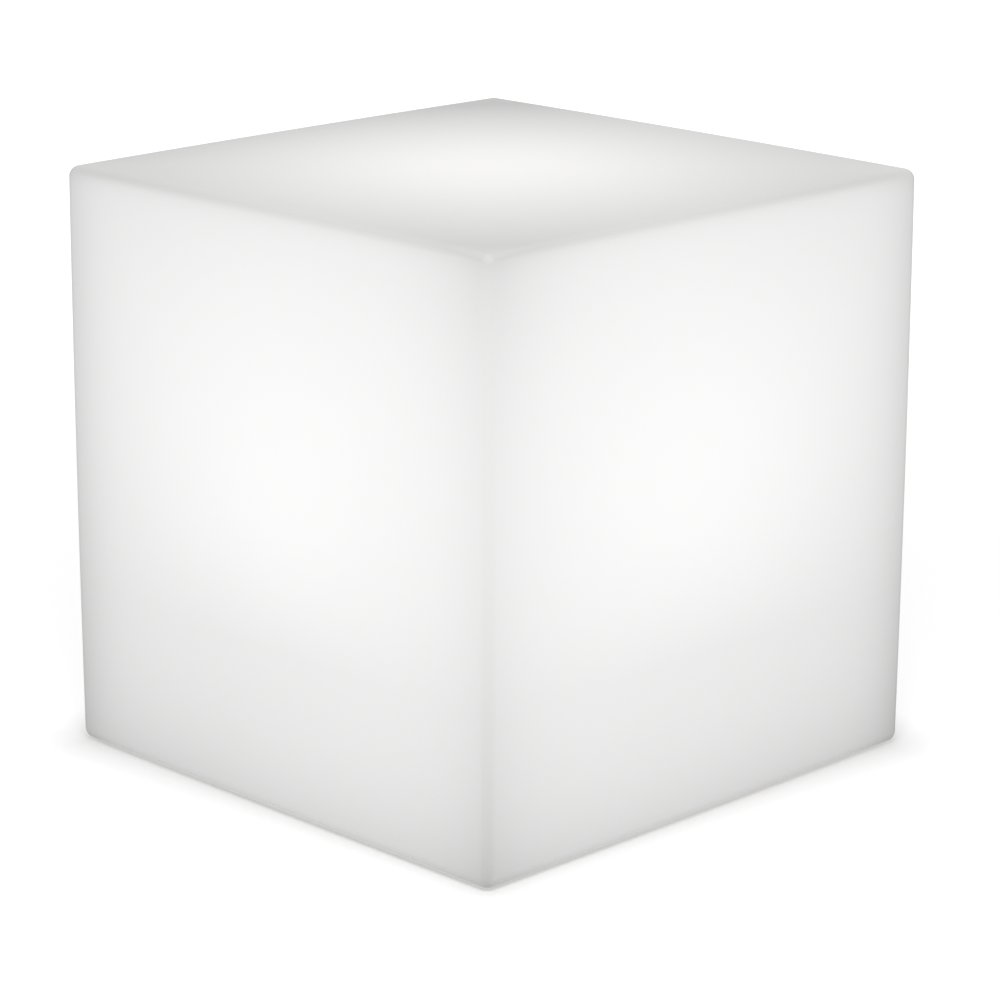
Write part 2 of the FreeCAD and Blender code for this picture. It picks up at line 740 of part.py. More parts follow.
def status_light_pipe():
    """A clear rod that carries the charging light to the cap's face."""
    top = board_low - status_lamp_height - pipe_top_gap
    rod = disc(pipe_radius, cap_face, top, pipe_x)
    collar = disc(pipe_flange_radius, floor_top, floor_top + pipe_flange_thickness, pipe_x)
    return joined([rod, collar])


# ---------------------------------------------------------------- control board
def control_board():
    """The round circuit board, notched at its edge where it goes down past the plate's tabs."""
    holes = [disc(machine_screw_radius + screw_clearance, board_low, board_top, x, y)
             for x, y in post_places]
    notches = tab_blocks(board_notch_gap, board_radius + rib_sink, board_low, board_top)
    return disc(board_radius, board_low, board_top).cut(holes + notches)


def board_components():
    """Chips, coil and capacitors on top of the board, and the charging lamp under it."""
    solids = [block(width, depth, board_top, board_top + height, x, y)
              for width, depth, height, x, y in board_chips]
    solids += [disc(capacitor_radius, board_top, board_top + capacitor_height, x, capacitor_y)
               for x in capacitor_xs]
    solids.append(block(status_lamp_side, status_lamp_side, board_low - status_lamp_height,
                        board_low, pipe_x))
    return loose(solids)


def board_standoffs():
    """Hexagonal posts whose studs hold the board down and whose tops carry the tray."""
    solids = []
    for x, y in post_places:
        post = hexagon(standoff_corner_radius, board_top, tray_low, x, y)
        stud = disc(machine_screw_radius, board_top - standoff_stud_length - board_thickness,
                    board_top, x, y)
        bore = disc(machine_screw_radius + screw_clearance, tray_low - standoff_hole_depth,
                    tray_low, x, y)
        solids.append(post.fuse(stud).cut(bore))
    return loose(solids)


# ---------------------------------------------------------------- battery
def contact_place(end, side):
    """(x, y) of the middle of a contact plate, at one end of one cell."""
    return end * (tray_inside_x - contact_thickness / 2), side * cell_y


def battery_tray():
    """The open tray that the two cells lie in."""
    wall_top = tray_top + tray_wall_rise
    body = block(2 * tray_outside_x, 2 * tray_outside_y, tray_low, wall_top).cut(
        block(2 * tray_inside_x, 2 * tray_inside_y, tray_top, wall_top))
    ears = []
    for x, y in post_places:
        ears.append(disc(tray_ear_radius, tray_low, tray_top, x, y))
        inner_y = math.copysign(tray_outside_y - rib_sink, y)
        ears.append(block(2 * tray_ear_radius, abs(y - inner_y), tray_low, tray_top,
                          x, (y + inner_y) / 2))
    catches = [Part.makeCylinder(strap_catch_radius, tray_side_wall + strap_thickness,
                                 Vector(0, side * tray_inside_y, catch_level()),
                                 Vector(0, side, 0)) for side in (-1, 1)]
    slots = []
    for end in (-1, 1):
        for side in (-1, 1):
            x, y = contact_place(end, side)
            slots.append(block(contact_thickness + contact_slot_gap,
                               contact_tail_width + 2 * contact_slot_gap, tray_low, tray_top,
                               x - end * contact_slot_gap / 2, y))
    holes = [disc(machine_screw_radius + screw_clearance, tray_low, tray_top, x, y)
             for x, y in post_places]
    return body.fuse(ears + catches).removeSplitter().cut(slots + holes)


def catch_level():
    """The level of the pips on the tray's walls that the strap clips over."""
    return tray_top + tray_wall_rise - strap_leg / 2


def battery_cell(side, end):
    """A round cell that lies along X, with its raised contact towards end."""
    start = -end * (cell_body_length + cell_nub_length) / 2
    along = Vector(end, 0, 0)
    can = Part.makeCylinder(cell_radius, cell_body_length,
                            Vector(start, side * cell_y, cell_axis), along)
    can = can.makeFillet(cell_rounding, [e for e in can.Edges if isinstance(e.Curve, Part.Circle)])
    nub = Part.makeCylinder(cell_nub_radius, cell_nub_length,
                            Vector(start + end * cell_body_length, side * cell_y, cell_axis), along)
    return can.fuse(nub).removeSplitter()


def cell_contacts():
    """Spring plates at the ends of the cells, with tails that stand on the board."""
    solids = []
    for end in (-1, 1):
        for side in (-1, 1):
            x, y = contact_place(end, side)
            plate = block(contact_thickness, contact_width, tray_top, cell_axis + contact_rise,
                          x, y)
            tail = block(contact_thickness, contact_tail_width, board_top, tray_top, x, y)
            solids.append(joined([plate, tail]))
    return loose(solids)


def battery_strap():
    """The bridge that holds the cells down and clips over pips on the tray."""
    top = strap_low + strap_thickness
    inner_y = tray_outside_y
    outer_y = inner_y + strap_thickness
    leg_low = tray_top + tray_wall_rise - strap_leg
    bridge = block(strap_width, 2 * outer_y, leg_low, top).cut(
        block(strap_width, 2 * inner_y, leg_low, strap_low))
    holes = [Part.makeCylinder(strap_catch_radius + screw_clearance, strap_thickness,
                               Vector(0, side * inner_y, catch_level()), Vector(0, side, 0))
             for side in (-1, 1)]
    return bridge.cut(holes)


def tray_screws():
    """The screws that hold the tray on its posts."""
    return loose([pan_screw(machine_screw_radius, tray_screw_length, machine_screw_head_radius,
                            machine_screw_head_height, tray_top, x, y, up=False)
                  for x, y in post_places])


# ---------------------------------------------------------------- lamp plate, lamps and dome
def lead_place(radius):
    """(x, y) at a distance from the axis, in the lead's own upright plane."""
    angle = math.radians(lead_angle)
    return radius * math.cos(angle), radius * math.sin(angle)


def lamp_plate():
    """The aluminium disc that spreads the lamps' heat to the cup."""
    x, y = lead_place(lead_ring)
    holes = [disc(machine_screw_radius + screw_clearance, plate_low, cup_top, *place)
             for place in plate_screw_places()]
    holes += [disc(lamp_board_screw_radius + screw_clearance, plate_low, cup_top, *place)
              for place in places_round(lamp_board_screw_count, lamp_board_screw_ring)]
    holes.append(disc(grommet_outer() + grommet_clearance, plate_low, cup_top, x, y))
    return disc(plate_radius, plate_low, cup_top).cut(holes)


def plate_screws():
    """The screws that hold the plate on the cup's tabs."""
    return loose([pan_screw(machine_screw_radius, plate_screw_length, machine_screw_head_radius,
                            machine_screw_head_height, cup_top, x, y, up=False)
                  for x, y in plate_screw_places()])


def lamp_board():
    """The white disc that the lamps are soldered to."""
    holes = [disc(lamp_board_screw_radius + screw_clearance, cup_top, lamp_board_top, x, y)
             for x, y in places_round(lamp_board_screw_count, lamp_board_screw_ring)]
    return disc(lamp_board_radius, cup_top, lamp_board_top).cut(holes)


def lamp_board_screws():
    """The screws that clamp the lamp board to the plate."""
    length = lamp_board_thickness + plate_thickness
    return loose([pan_screw(lamp_board_screw_radius, length, small_head_radius, small_head_height,
                            lamp_board_top, x, y, up=False)
                  for x, y in places_round(lamp_board_screw_count, lamp_board_screw_ring)])


def lamps():
    """The square white lamps in two rings, each with its round lens."""
    half_step = 180.0 / outer_ring_count
    solids = []
    for count, radius, first in ((outer_ring_count, outer_ring_radius, half_step),
                                 (inner_ring_count, inner_ring_radius, 0.0)):
        for k in range(count):
            body = block(lamp_side, lamp_side, lamp_board_top, lamp_board_top + lamp_height, radius)
            lens = disc(lamp_lens_radius, lamp_board_top + lamp_height,
                        lamp_board_top + lamp_height + lamp_lens_height, radius)
            lamp = body.fuse(lens)
            lamp.rotate(Vector(0, 0, 0), Vector(0, 0, 1), first + 360.0 * k / count)
            solids.append(lamp)
    return loose(solids)


def dome_screw_places():
    """(x, y) of the screws through the dome's flange, the first half a step round from +X."""
    return places_round(dome_screw_count, dome_screw_ring, 180.0 / dome_screw_count)


def dome_form(radius, side_top, rise, shoulder):
    """A short cylinder closed by a spherical top that rises by rise, with a soft shoulder."""
    ball = (radius**2 + rise**2) / (2 * rise)
    half_angle = math.asin(min(1.0, radius / ball)) / 2
    middle = (ball * math.sin(half_angle), side_top + rise - ball + ball * math.cos(half_angle))
    solid = turned([
        line((0, dome_flange_low), (radius, dome_flange_low)),
        line((radius, dome_flange_low), (radius, side_top)),
        arc((radius, side_top), middle, (0, side_top + rise)),
        line((0, side_top + rise), (0, dome_flange_low)),
    ])
    return solid.makeFillet(shoulder, edges_at(solid, side_top))


def light_dome():
    """The frosted dome over the lamps, with its flange."""
    outside = dome_form(dome_radius, dome_shoulder_level, dome_rise, dome_shoulder)
    inside = dome_form(dome_radius - dome_wall, dome_shoulder_level, dome_rise - dome_wall,
                       dome_shoulder - dome_wall / 2)
    flange = disc(dome_flange, dome_flange_low, dome_flange_top)
    holes = [disc(dome_screw_radius + screw_clearance, dome_flange_low, dome_flange_top, x, y)
             for x, y in dome_screw_places()]
    return flange.fuse(outside).removeSplitter().cut([inside] + holes)


def dome_gasket():
    """The flat seal under the dome's flange."""
    solid = ring(dome_flange, cup_bore + dome_gasket_inset, cup_top, dome_flange_low)
    return solid.cut([disc(dome_screw_radius + screw_clearance, cup_top, dome_flange_low, x, y)
                      for x, y in dome_screw_places()])


def dome_screws():
    """The small screws through the dome's flange into the cup's wall."""
    return loose([pan_screw(dome_screw_radius, dome_screw_length, dome_screw_head_radius,
                            small_head_height, dome_flange_top, x, y, up=False)
                  for x, y in dome_screw_places()])


# ---------------------------------------------------------------- lead between the two boards
def grommet_outer():
    """The radius of the grommet's waist, which fills the hole in the plate."""
    return lead_radius + grommet_clearance + grommet_wall


def lead_grommet():
    """A rubber ring that keeps the lead off the plate's edge."""
    x, y = lead_place(lead_ring)
    waist = disc(grommet_outer(), plate_low - grommet_lip, cup_top + grommet_lip, x, y)
    lips = [disc(grommet_outer() + grommet_lip, low, low + grommet_lip, x, y)
            for low in (plate_low - grommet_lip, cup_top)]
    return joined([waist] + lips).cut(
        disc(lead_radius + grommet_clearance, plate_low - grommet_lip, cup_top + grommet_lip, x, y))


def lamp_lead():
    """The white cable from the control board, up through the plate and down to the lamp board."""
    far, near = lead_ring, lamp_board_screw_ring
    low, high = board_top + board_plug_height, lamp_board_top + lead_loop_height
    end = lamp_board_top + lamp_plug_height
    bend = lead_bend_radius
    path = Part.Wire([
        line((far, low), (far, high - bend)),
        quarter((far - bend, high - bend), bend, 0),
        line((far - bend, high), (near + bend, high)),
        quarter((near + bend, high - bend), bend, 90),
        line((near, high - bend), (near, end)),
    ])
    section = Part.Wire(Part.makeCircle(lead_radius, Vector(far, 0, low), Vector(0, 0, 1)))
    cable = path.makePipeShell([section], True, False)
    cable.rotate(Vector(0, 0, 0), Vector(0, 0, 1), lead_angle)
    return cable


def lead_plugs():
    """The plastic plugs at the ends of the lead."""
    solids = []
    for radius, low, height in ((lead_ring, board_top, board_plug_height),
                                (lamp_board_screw_ring, lamp_board_top, lamp_plug_height)):
        plug = block(plug_depth, plug_length, low, low + height, radius)
        plug.rotate(Vector(0, 0, 0), Vector(0, 0, 1), lead_angle)
        solids.append(plug)
    return loose(solids)


# ---------------------------------------------------------------- the whole light
def pieces():
    """Every piece by its name."""
    found = {
        "cube_shell": cube_shell(),
        "port_collar": port_collar(),
        "collar_gasket": collar_gasket(),
        "threaded_inserts": threaded_inserts(),
        "collar_screws": collar_screws(),
        "unit_seal": unit_seal(),
        "base_cap": base_cap(),
        "power_button": power_button(),
        "button_boot": button_boot(),
        "switch_body": switch_body(),
        "switch_plunger": switch_plunger(),
        "charge_socket": charge_socket(),
        "socket_pin": socket_pin(),
        "charge_cover": charge_cover(),
        "cover_tether": cover_tether(),
        "breather_vent": breather_vent(),
        "vent_nut": vent_nut(),
        "status_light_pipe": status_light_pipe(),
        "control_board": control_board(),
        "board_components": board_components(),
        "board_standoffs": board_standoffs(),
        "battery_tray": battery_tray(),
        "battery_cell_front": battery_cell(-1, 1),
        "battery_cell_back": battery_cell(1, -1),
        "cell_contacts": cell_contacts(),
        "battery_strap": battery_strap(),
        "tray_screws": tray_screws(),
        "lamp_plate": lamp_plate(),
        "plate_screws": plate_screws(),
        "lamp_board": lamp_board(),
        "lamp_board_screws": lamp_board_screws(),
        "lamps": lamps(),
        "light_dome": light_dome(),
        "dome_gasket": dome_gasket(),
        "dome_screws": dome_screws(),
        "lead_grommet": lead_grommet(),
        "lamp_lead": lamp_lead(),
        "lead_plugs": lead_plugs(),
    }
    for x, y in foot_places():
        name = "foot_" + ("back" if y > 0 else "front") + ("_right" if x > 0 else "_left")
        found[name] = foot(x, y)
    return found


def main():
    """Writes each piece as a STEP file named after it."""
    os.makedirs("parts", exist_ok=True)
    for name, shape in pieces().items():
        shape.exportStep("parts/" + name + ".step")
        solids = shape.Solids
        volume = sum(solid.Volume for solid in solids) / 1000
        print(f"{name:20s} {len(solids):3d} solids {volume:9.2f} cm3  valid {shape.isValid()}")


main()
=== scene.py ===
"""Looks of a battery cube light: a hollow white cube that a round light unit lights from inside.

Metres, +Z up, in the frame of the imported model. Each sub-assembly is a class that holds its sizes
and has methods that build its surfaces and dress its pieces. Each finish is a frozen dataclass that
makes one procedural material.
"""

import logging
import math
from dataclasses import dataclass, field
from enum import Enum

import bmesh
import bpy
import numpy as np
from mathutils import Matrix, Vector

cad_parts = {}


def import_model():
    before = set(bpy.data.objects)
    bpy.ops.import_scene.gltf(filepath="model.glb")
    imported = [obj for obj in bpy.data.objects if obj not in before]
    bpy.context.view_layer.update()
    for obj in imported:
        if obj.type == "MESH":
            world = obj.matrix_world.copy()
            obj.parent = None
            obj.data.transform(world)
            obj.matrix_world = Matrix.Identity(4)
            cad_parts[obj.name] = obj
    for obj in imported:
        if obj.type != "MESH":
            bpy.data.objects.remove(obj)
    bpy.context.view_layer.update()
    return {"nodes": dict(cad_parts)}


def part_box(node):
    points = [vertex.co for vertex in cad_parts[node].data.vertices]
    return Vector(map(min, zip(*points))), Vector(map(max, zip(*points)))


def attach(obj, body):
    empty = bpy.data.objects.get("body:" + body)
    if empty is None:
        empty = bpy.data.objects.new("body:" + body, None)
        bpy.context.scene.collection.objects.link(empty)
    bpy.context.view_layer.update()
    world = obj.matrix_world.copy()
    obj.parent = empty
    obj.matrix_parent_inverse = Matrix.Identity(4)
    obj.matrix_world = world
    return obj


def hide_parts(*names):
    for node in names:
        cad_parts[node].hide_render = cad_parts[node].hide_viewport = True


Pair = tuple[float, float]
Colour = tuple[float, float, float]
Place = tuple[float, float, float]
Grid = np.ndarray
Material = bpy.types.Material
Node = bpy.types.Node
Outputs = bpy.types.NodeOutputs
Socket = bpy.types.NodeSocket

LOG = logging.getLogger("cube_light")
ORIGIN: Place = (0.0, 0.0, 0.0)
DOWN: Place = (0.0, 0.0, -1.0)
WHITE: Colour = (1.0, 1.0, 1.0)
NOISE_MIDDLE = 0.5
MERGED_WITHIN = 2e-6
COLLAPSED_WITHIN = 1e-7
TURN = 360.0


# ------------------------------------------------------------------ surfaces
class Shade(Enum):
    """How a finished surface is shaded."""

    SMOOTH = "smooth"
    CREASED = "creased"


@dataclass
class Patch:
    """A surface of two parameters: an array of points in rows and columns.

    A cell of the grid becomes a quad, unless keep says that it is left out.
    """

    points: Grid
    keep: Grid | None = None

    def quads(self) -> Grid:
        """Numbers the corners of the grid's cells, four to a row.

        Returns:
            The indices of the cells' corners.
        """
        rows, columns = self.points.shape[:2]
        index = np.arange(rows * columns).reshape(rows, columns)
        cells = np.stack([index[:-1, :-1], index[1:, :-1], index[1:, 1:], index[:-1, 1:]], -1)
        if self.keep is not None:
            cells = cells[self.keep]
        return cells.reshape(-1, 4)


def surface_object(name: str, patches: list[Patch], shade: Shade = Shade.CREASED,
                   crease: float = 32.0) -> bpy.types.Object:
    """Makes one mesh object from patches whose shared borders have the same points.

    Args:
        name: the piece's name.
        patches: the surfaces, which are merged where their points meet.
        shade: smooth all over, or with the sharp edges kept.
        crease: the angle above which an edge stays sharp, in degrees.

    Returns:
        The object, at the origin, with its faces outwards.
    """
    points = np.concatenate([patch.points.reshape(-1, 3) for patch in patches])
    starts = np.cumsum([0] + [patch.points.size // 3 for patch in patches[:-1]])
    quads = np.concatenate([patch.quads() + start for patch, start in zip(patches, starts)])
    mesh = bpy.data.meshes.new(name)
    mesh.vertices.add(len(points))
    mesh.vertices.foreach_set("co", points.astype(np.float32).ravel())
    mesh.loops.add(quads.size)
    mesh.loops.foreach_set("vertex_index", quads.astype(np.int32).ravel())
    mesh.polygons.add(len(quads))
    mesh.polygons.foreach_set("loop_start", np.arange(0, quads.size, 4, dtype=np.int32))
    mesh.update(calc_edges=True)
    work = bmesh.new()
    work.from_mesh(mesh)
    bmesh.ops.remove_doubles(work, verts=work.verts, dist=MERGED_WITHIN)
    bmesh.ops.dissolve_degenerate(work, edges=work.edges, dist=COLLAPSED_WITHIN)
    bmesh.ops.recalc_face_normals(work, faces=work.faces)
    work.to_mesh(mesh)
    work.free()
    mesh.polygons.foreach_set("use_smooth", np.ones(len(mesh.polygons), dtype=bool))
    if shade is Shade.CREASED:
        mesh.set_sharp_from_angle(angle=math.radians(crease))
    piece = bpy.data.objects.new(name, mesh)
    bpy.context.scene.collection.objects.link(piece)
    return piece


def turned(profile: Grid, angles: Grid | int, centre: Place = ORIGIN) -> Patch:
    """A profile of (radius, level) points turned about an upright axis.

    The point at profile step i and angle a is centre + (r_i cos a, r_i sin a, z_i).

    Args:
        profile: the (radius, level) points.
        angles: the angles in radians, or how many even steps go round.
        centre: where the axis stands.

    Returns:
        The turned surface.
    """
    if isinstance(angles, int):
        angles = np.linspace(0.0, 2 * math.pi, angles + 1)
    radius, level = profile[:, :1], profile[:, 1:2]
    points = np.stack([radius * np.cos(angles), radius * np.sin(angles),
                       np.broadcast_to(level, (len(profile), len(angles)))], -1)
    return Patch(points + np.array(centre))


def arc(centre: Pair, radius: float, start: float, sweep: float = 90.0, steps: int = 6) -> Grid:
    """Points of an arc in the (radius, level) plane: centre + radius (cos a, sin a).

    Args:
        centre: the arc's middle.
        radius: its radius.
        start: the first angle, in degrees.
        sweep: the angle that it turns through, in degrees.
        steps: how many chords it has.

    Returns:
        The points, from the first angle to the last.
    """
    angle = np.radians(start + np.linspace(0.0, sweep, steps + 1))
    return np.stack([centre[0] + radius * np.cos(angle), centre[1] + radius * np.sin(angle)], -1)


def ridges(starts: Grid, ends: Grid, outward: Grid, size: Pair, steps: int = 8,
           bluntness: int = 6) -> list[Patch]:
    """Rounded ridges along straight lines, which stand out of a surface and are closed under it.

    The point at u from -1 to 1 and angle a is m + u (e - s) / 2 + t (side cos a width / 2 + out
    sin a height), where m is the middle of the line from s to e, side is square to the line and to
    the outward direction, and t = sqrt(1 - u^bluntness) rounds the ends.

    Args:
        starts: where each line begins, one point a row.
        ends: where each line ends.
        outward: the direction in which each ridge stands out.
        size: the ridges' width, and how far they stand out.
        steps: how many steps go along a ridge and round it.
        bluntness: how square the ends are.

    Returns:
        One closed patch for each ridge.
    """
    width, height = size
    u = np.sin(np.linspace(-math.pi / 2, math.pi / 2, steps + 1))[:, None, None]
    angles = np.linspace(0.0, 2 * math.pi, steps + 1)[None, :, None]
    taper = np.sqrt(np.clip(1.0 - u ** bluntness, 0.0, 1.0))
    patches = []
    for start, end, out in zip(starts, ends, outward):
        side = np.cross(end - start, out)
        side = side / np.linalg.norm(side)
        bulge = side * np.cos(angles) * width / 2 + out * np.sin(angles) * height
        patches.append(Patch((start + end) / 2 + u * (end - start) / 2 + taper * bulge))
    return patches


def level_directions(angles: Grid) -> Grid:
    """Unit vectors in the level plane at angles in degrees, one a row."""
    turn = np.radians(angles)
    return np.stack([np.cos(turn), np.sin(turn), np.zeros_like(turn)], -1)


# ------------------------------------------------------------------ shader sheets
class Sheet:
    """A short way to write one node tree."""

    def __init__(self, tree: bpy.types.NodeTree) -> None:
        """Keeps the tree that the nodes go into."""
        self.tree = tree

    def node(self, kind: str, **options: object) -> Node:
        """Adds a node and sets its options.

        Args:
            kind: its type, less the first word, ShaderNode.
            options: its properties.

        Returns:
            The node.
        """
        added = self.tree.nodes.new(f"ShaderNode{kind}")
        for name, value in options.items():
            setattr(added, name, value)
        return added

    def feed(self, socket: Socket, source: object) -> None:
        """Links a socket to an output, or sets its constant.

        Args:
            socket: the input.
            source: an output, a number, or a colour with or without its alpha.
        """
        if isinstance(source, Socket):
            self.tree.links.new(source, socket)
        elif socket.type == "RGBA" and len(source) == 3:
            socket.default_value = (*source, 1.0)
        else:
            socket.default_value = source

    def wire(self, node: Node, **sources: object) -> Node:
        """Feeds a node's inputs by name.

        Args:
            node: the node.
            sources: each input's source. In its name, _ stands for a space.

        Returns:
            The node.
        """
        for name, source in sources.items():
            self.feed(node.inputs[name.replace("_", " ")], source)
        return node

    def worked(self, node: Node, terms: tuple[object, ...], out: str) -> Socket:
        """Feeds a node's inputs in their order.

        Args:
            node: the node.
            terms: the inputs' sources.
            out: the output's name.

        Returns:
            That output.
        """
        for socket, term in zip(node.inputs, terms):
            self.feed(socket, term)
        return node.outputs[out]

    def math(self, operation: str, *terms: object, clamp: bool = False) -> Socket:
        """One Math node. Returns its value."""
        return self.worked(self.node("Math", operation=operation, use_clamp=clamp), terms, "Value")

    def times(self, first: object, second: object) -> Socket:
        """The product of two numbers."""
        return self.math("MULTIPLY", first, second)

    def less(self, first: object, second: object) -> Socket:
        """The first number less the second."""
        return self.math("SUBTRACT", first, second)

    def vector(self, operation: str, *terms: object, out: str = "Vector") -> Socket:
        """One Vector Math node. Returns the named output."""
        return self.worked(self.node("VectorMath", operation=operation), terms, out)

    def length(self, vector: object) -> Socket:
        """A vector's length."""
        return self.vector("LENGTH", vector, out="Value")

    def scaled(self, vector: object, factor: object) -> Socket:
        """A vector times a number."""
        node = self.node("VectorMath", operation="SCALE")
        return self.wire(node, Vector=vector, Scale=factor).outputs["Vector"]

    def split(self, vector: object) -> tuple[Socket, ...]:
        """The three parts of a vector."""
        return tuple(self.wire(self.node("SeparateXYZ"), Vector=vector).outputs)

    def joined(self, x: object, y: object, z: object) -> Socket:
        """A vector from three numbers."""
        return self.worked(self.node("CombineXYZ"), (x, y, z), "Vector")

    def between(self, kind: str, *sources: object) -> Socket:
        """Puts one Mix node between two ends.

        Args:
            kind: Color or Float.
            sources: the share, and the ends at 0 and 1.

        Returns:
            The mixed colour or number.
        """
        node = self.node("Mix", data_type="RGBA" if kind == "Color" else "FLOAT")
        for name, source in zip(("Factor_Float", f"A_{kind}", f"B_{kind}"), sources):
            self.feed(next(s for s in node.inputs if s.identifier == name), source)
        return next(s for s in node.outputs if s.identifier == f"Result_{kind}")

    def mix(self, share: object, first: object, second: object) -> Socket:
        """A colour between two colours."""
        return self.between("Color", share, first, second)

    def blend(self, share: object, first: object, second: object) -> Socket:
        """A number between two numbers."""
        return self.between("Float", share, first, second)

    def span(self, value: object, low: float, high: float, to_low: float = 0.0,
             to_high: float = 1.0) -> Socket:
        """A value carried smoothly from one range to another, held at both ends.

        Args:
            value: the number.
            low: where the first range begins.
            high: where it ends.
            to_low: the result at its beginning.
            to_high: the result at its end.

        Returns:
            The number in the second range.
        """
        node = self.node("MapRange", interpolation_type="SMOOTHSTEP")
        self.wire(node, Value=value, From_Min=low, From_Max=high, To_Min=to_low, To_Max=to_high)
        return node.outputs["Result"]

    def noise(self, position: object, scale: object, detail: float = 3.0,
              roughness: float = 0.5) -> Socket:
        """A noise texture's value at a position."""
        return self.wire(self.node("TexNoise"), Vector=position, Scale=scale, Detail=detail,
                         Roughness=roughness).outputs["Fac"]

    def place(self) -> Socket:
        """The place on the piece, in its own metres."""
        return self.node("TexCoord").outputs["Object"]

    def group(self, tree: bpy.types.NodeTree, **values: object) -> Outputs:
        """Places a shared group with its own values. Returns its outputs."""
        return self.wire(self.node("Group", node_tree=tree), **values).outputs

    def bump(self, height: object, distance: float, strength: float = 1.0) -> Socket:
        """A normal bent by a height that is given as a share of distance, in metres."""
        return self.wire(self.node("Bump"), Height=height, Distance=distance,
                         Strength=strength).outputs["Normal"]


def new_group(name: str, inputs: dict[str, object], *outputs: str,
              ) -> tuple[bpy.types.NodeTree, Sheet, dict[str, Socket], Node]:
    """Starts a shared shader group.

    Args:
        name: the group's name.
        inputs: each input's default, which also tells its type. Position comes before them.
        outputs: the outputs' names. The one named Colour is a colour, and the others are numbers.

    Returns:
        The tree, a sheet on it, its inputs by name and its output node.
    """
    tree = bpy.data.node_groups.new(name, "ShaderNodeTree")
    for label, default in {"Position": ORIGIN, **inputs}.items():
        kind = "Float"
        if isinstance(default, tuple):
            kind = "Color" if len(default) == 4 else "Vector"
        socket = tree.interface.new_socket(name=label, in_out="INPUT",
                                           socket_type=f"NodeSocket{kind}")
        socket.default_value = default
    for label in outputs:
        kind = "Color" if label == "Colour" else "Float"
        tree.interface.new_socket(name=label, in_out="OUTPUT", socket_type=f"NodeSocket{kind}")
    given = {socket.name: socket for socket in tree.nodes.new("NodeGroupInput").outputs}
    return tree, Sheet(tree), given, tree.nodes.new("NodeGroupOutput")


class Effects:
    """The shader groups that more than one material uses, each built once."""

    def __init__(self) -> None:
        """Builds every group."""
        self.moulding = self._moulding()
        self.edge_wear = self._edge_wear()
        self.turning = self._turning()
        self.dust = self._dust()

    @staticmethod
    def _moulding() -> bpy.types.NodeTree:
        """Moulded plastic or rubber: a tone that drifts, and a fine pebbled grain.

        Returns:
            The group.
        """
        coarser, fine_share, gloss_change = 0.6, 0.6, 0.12
        tree, s, given, out = new_group(
            "moulded_grain", {"Colour": (0.8, 0.8, 0.8, 1.0), "Roughness": 0.5,
                              "Grain Scale": 900.0, "Drift Scale": 14.0, "Drift": 0.06},
            "Colour", "Roughness", "Height")
        place, grain = given["Position"], given["Grain Scale"]
        drift = s.less(s.noise(place, given["Drift Scale"], 2.0), NOISE_MIDDLE)
        fine = s.noise(place, grain, 3.0, 0.6)
        cells = s.wire(s.node("TexVoronoi", feature="SMOOTH_F1"), Vector=place,
                       Scale=s.times(grain, coarser))
        pebbles = s.times(cells.outputs["Distance"], 1.0 - fine_share)
        gain = s.math("MULTIPLY_ADD", drift, given["Drift"], 1.0)
        gloss = s.math("MULTIPLY_ADD", s.less(fine, NOISE_MIDDLE), gloss_change, given["Roughness"])
        s.wire(out, Colour=s.scaled(given["Colour"], gain), Roughness=gloss,
               Height=s.math("MULTIPLY_ADD", fine, fine_share, pebbles))
        return tree

    @staticmethod
    def _edge_wear() -> bpy.types.NodeTree:
        """Where edges stand out and get rubbed: the normal of a bevelled edge against the real one.

        Returns:
            The group.
        """
        bends, patches = (0.01, 0.16), (0.35, 0.62)
        tree, s, given, out = new_group("rubbed_edges", {"Reach": 0.0004, "Scale": 400.0}, "Mask")
        bevel = s.wire(s.node("Bevel", samples=4), Radius=given["Reach"]).outputs["Normal"]
        real = s.node("NewGeometry").outputs["Normal"]
        bend = s.less(1.0, s.vector("DOT_PRODUCT", bevel, real, out="Value"))
        patchy = s.noise(given["Position"], given["Scale"], 4.0, 0.6)
        s.wire(out, Mask=s.times(s.span(bend, *bends), s.span(patchy, *patches)))
        return tree

    @staticmethod
    def _turning() -> bpy.types.NodeTree:
        """Fine rings that a lathe leaves round an upright axis: noise of the radius alone.

        Returns:
            The group.
        """
        broad_scale, broad_share = 260.0, 0.5
        tree, s, given, out = new_group("turning_rings", {"Scale": 3000.0}, "Height", "Tone")
        x, y, z = s.split(given["Position"])
        radius = s.length(s.joined(x, y, 0.0))
        across, along = (s.times(part, given["Scale"]) for part in (radius, z))
        rings = s.noise(s.joined(across, 0.0, along), 1.0, 3.0, 0.7)
        broad = s.noise(s.joined(s.times(radius, broad_scale), x, y), 1.0, 2.0)
        s.wire(out, Height=rings, Tone=s.blend(broad_share, rings, broad))
        return tree

    @staticmethod
    def _dust() -> bpy.types.NodeTree:
        """Dust that clings near the ground: noise that fades with height over Reach metres.

        Returns:
            The group.
        """
        patches = (0.42, 0.7)
        tree, s, given, out = new_group("clinging_dust", {"Reach": 0.01, "Scale": 120.0}, "Mask")
        height = s.split(given["Position"])[2]
        near = s.math("SUBTRACT", 1.0, s.math("DIVIDE", height, given["Reach"]), clamp=True)
        specks = s.noise(given["Position"], given["Scale"], 5.0, 0.65)
        s.wire(out, Mask=s.times(near, s.span(specks, *patches)))
        return tree


# ------------------------------------------------------------------ finishes
def new_material(name: str) -> tuple[Material, Sheet, Node]:
    """Starts a material.

    Large faces that glow softly are met by the light paths themselves, so no path looks for them.

    Args:
        name: the material's name.

    Returns:
        The material, a sheet on its tree, and its Principled shader.
    """
    material = bpy.data.materials.new(name)
    material.use_nodes = True
    material.cycles.emission_sampling = "NONE"
    return material, Sheet(material.node_tree), material.node_tree.nodes["Principled BSDF"]


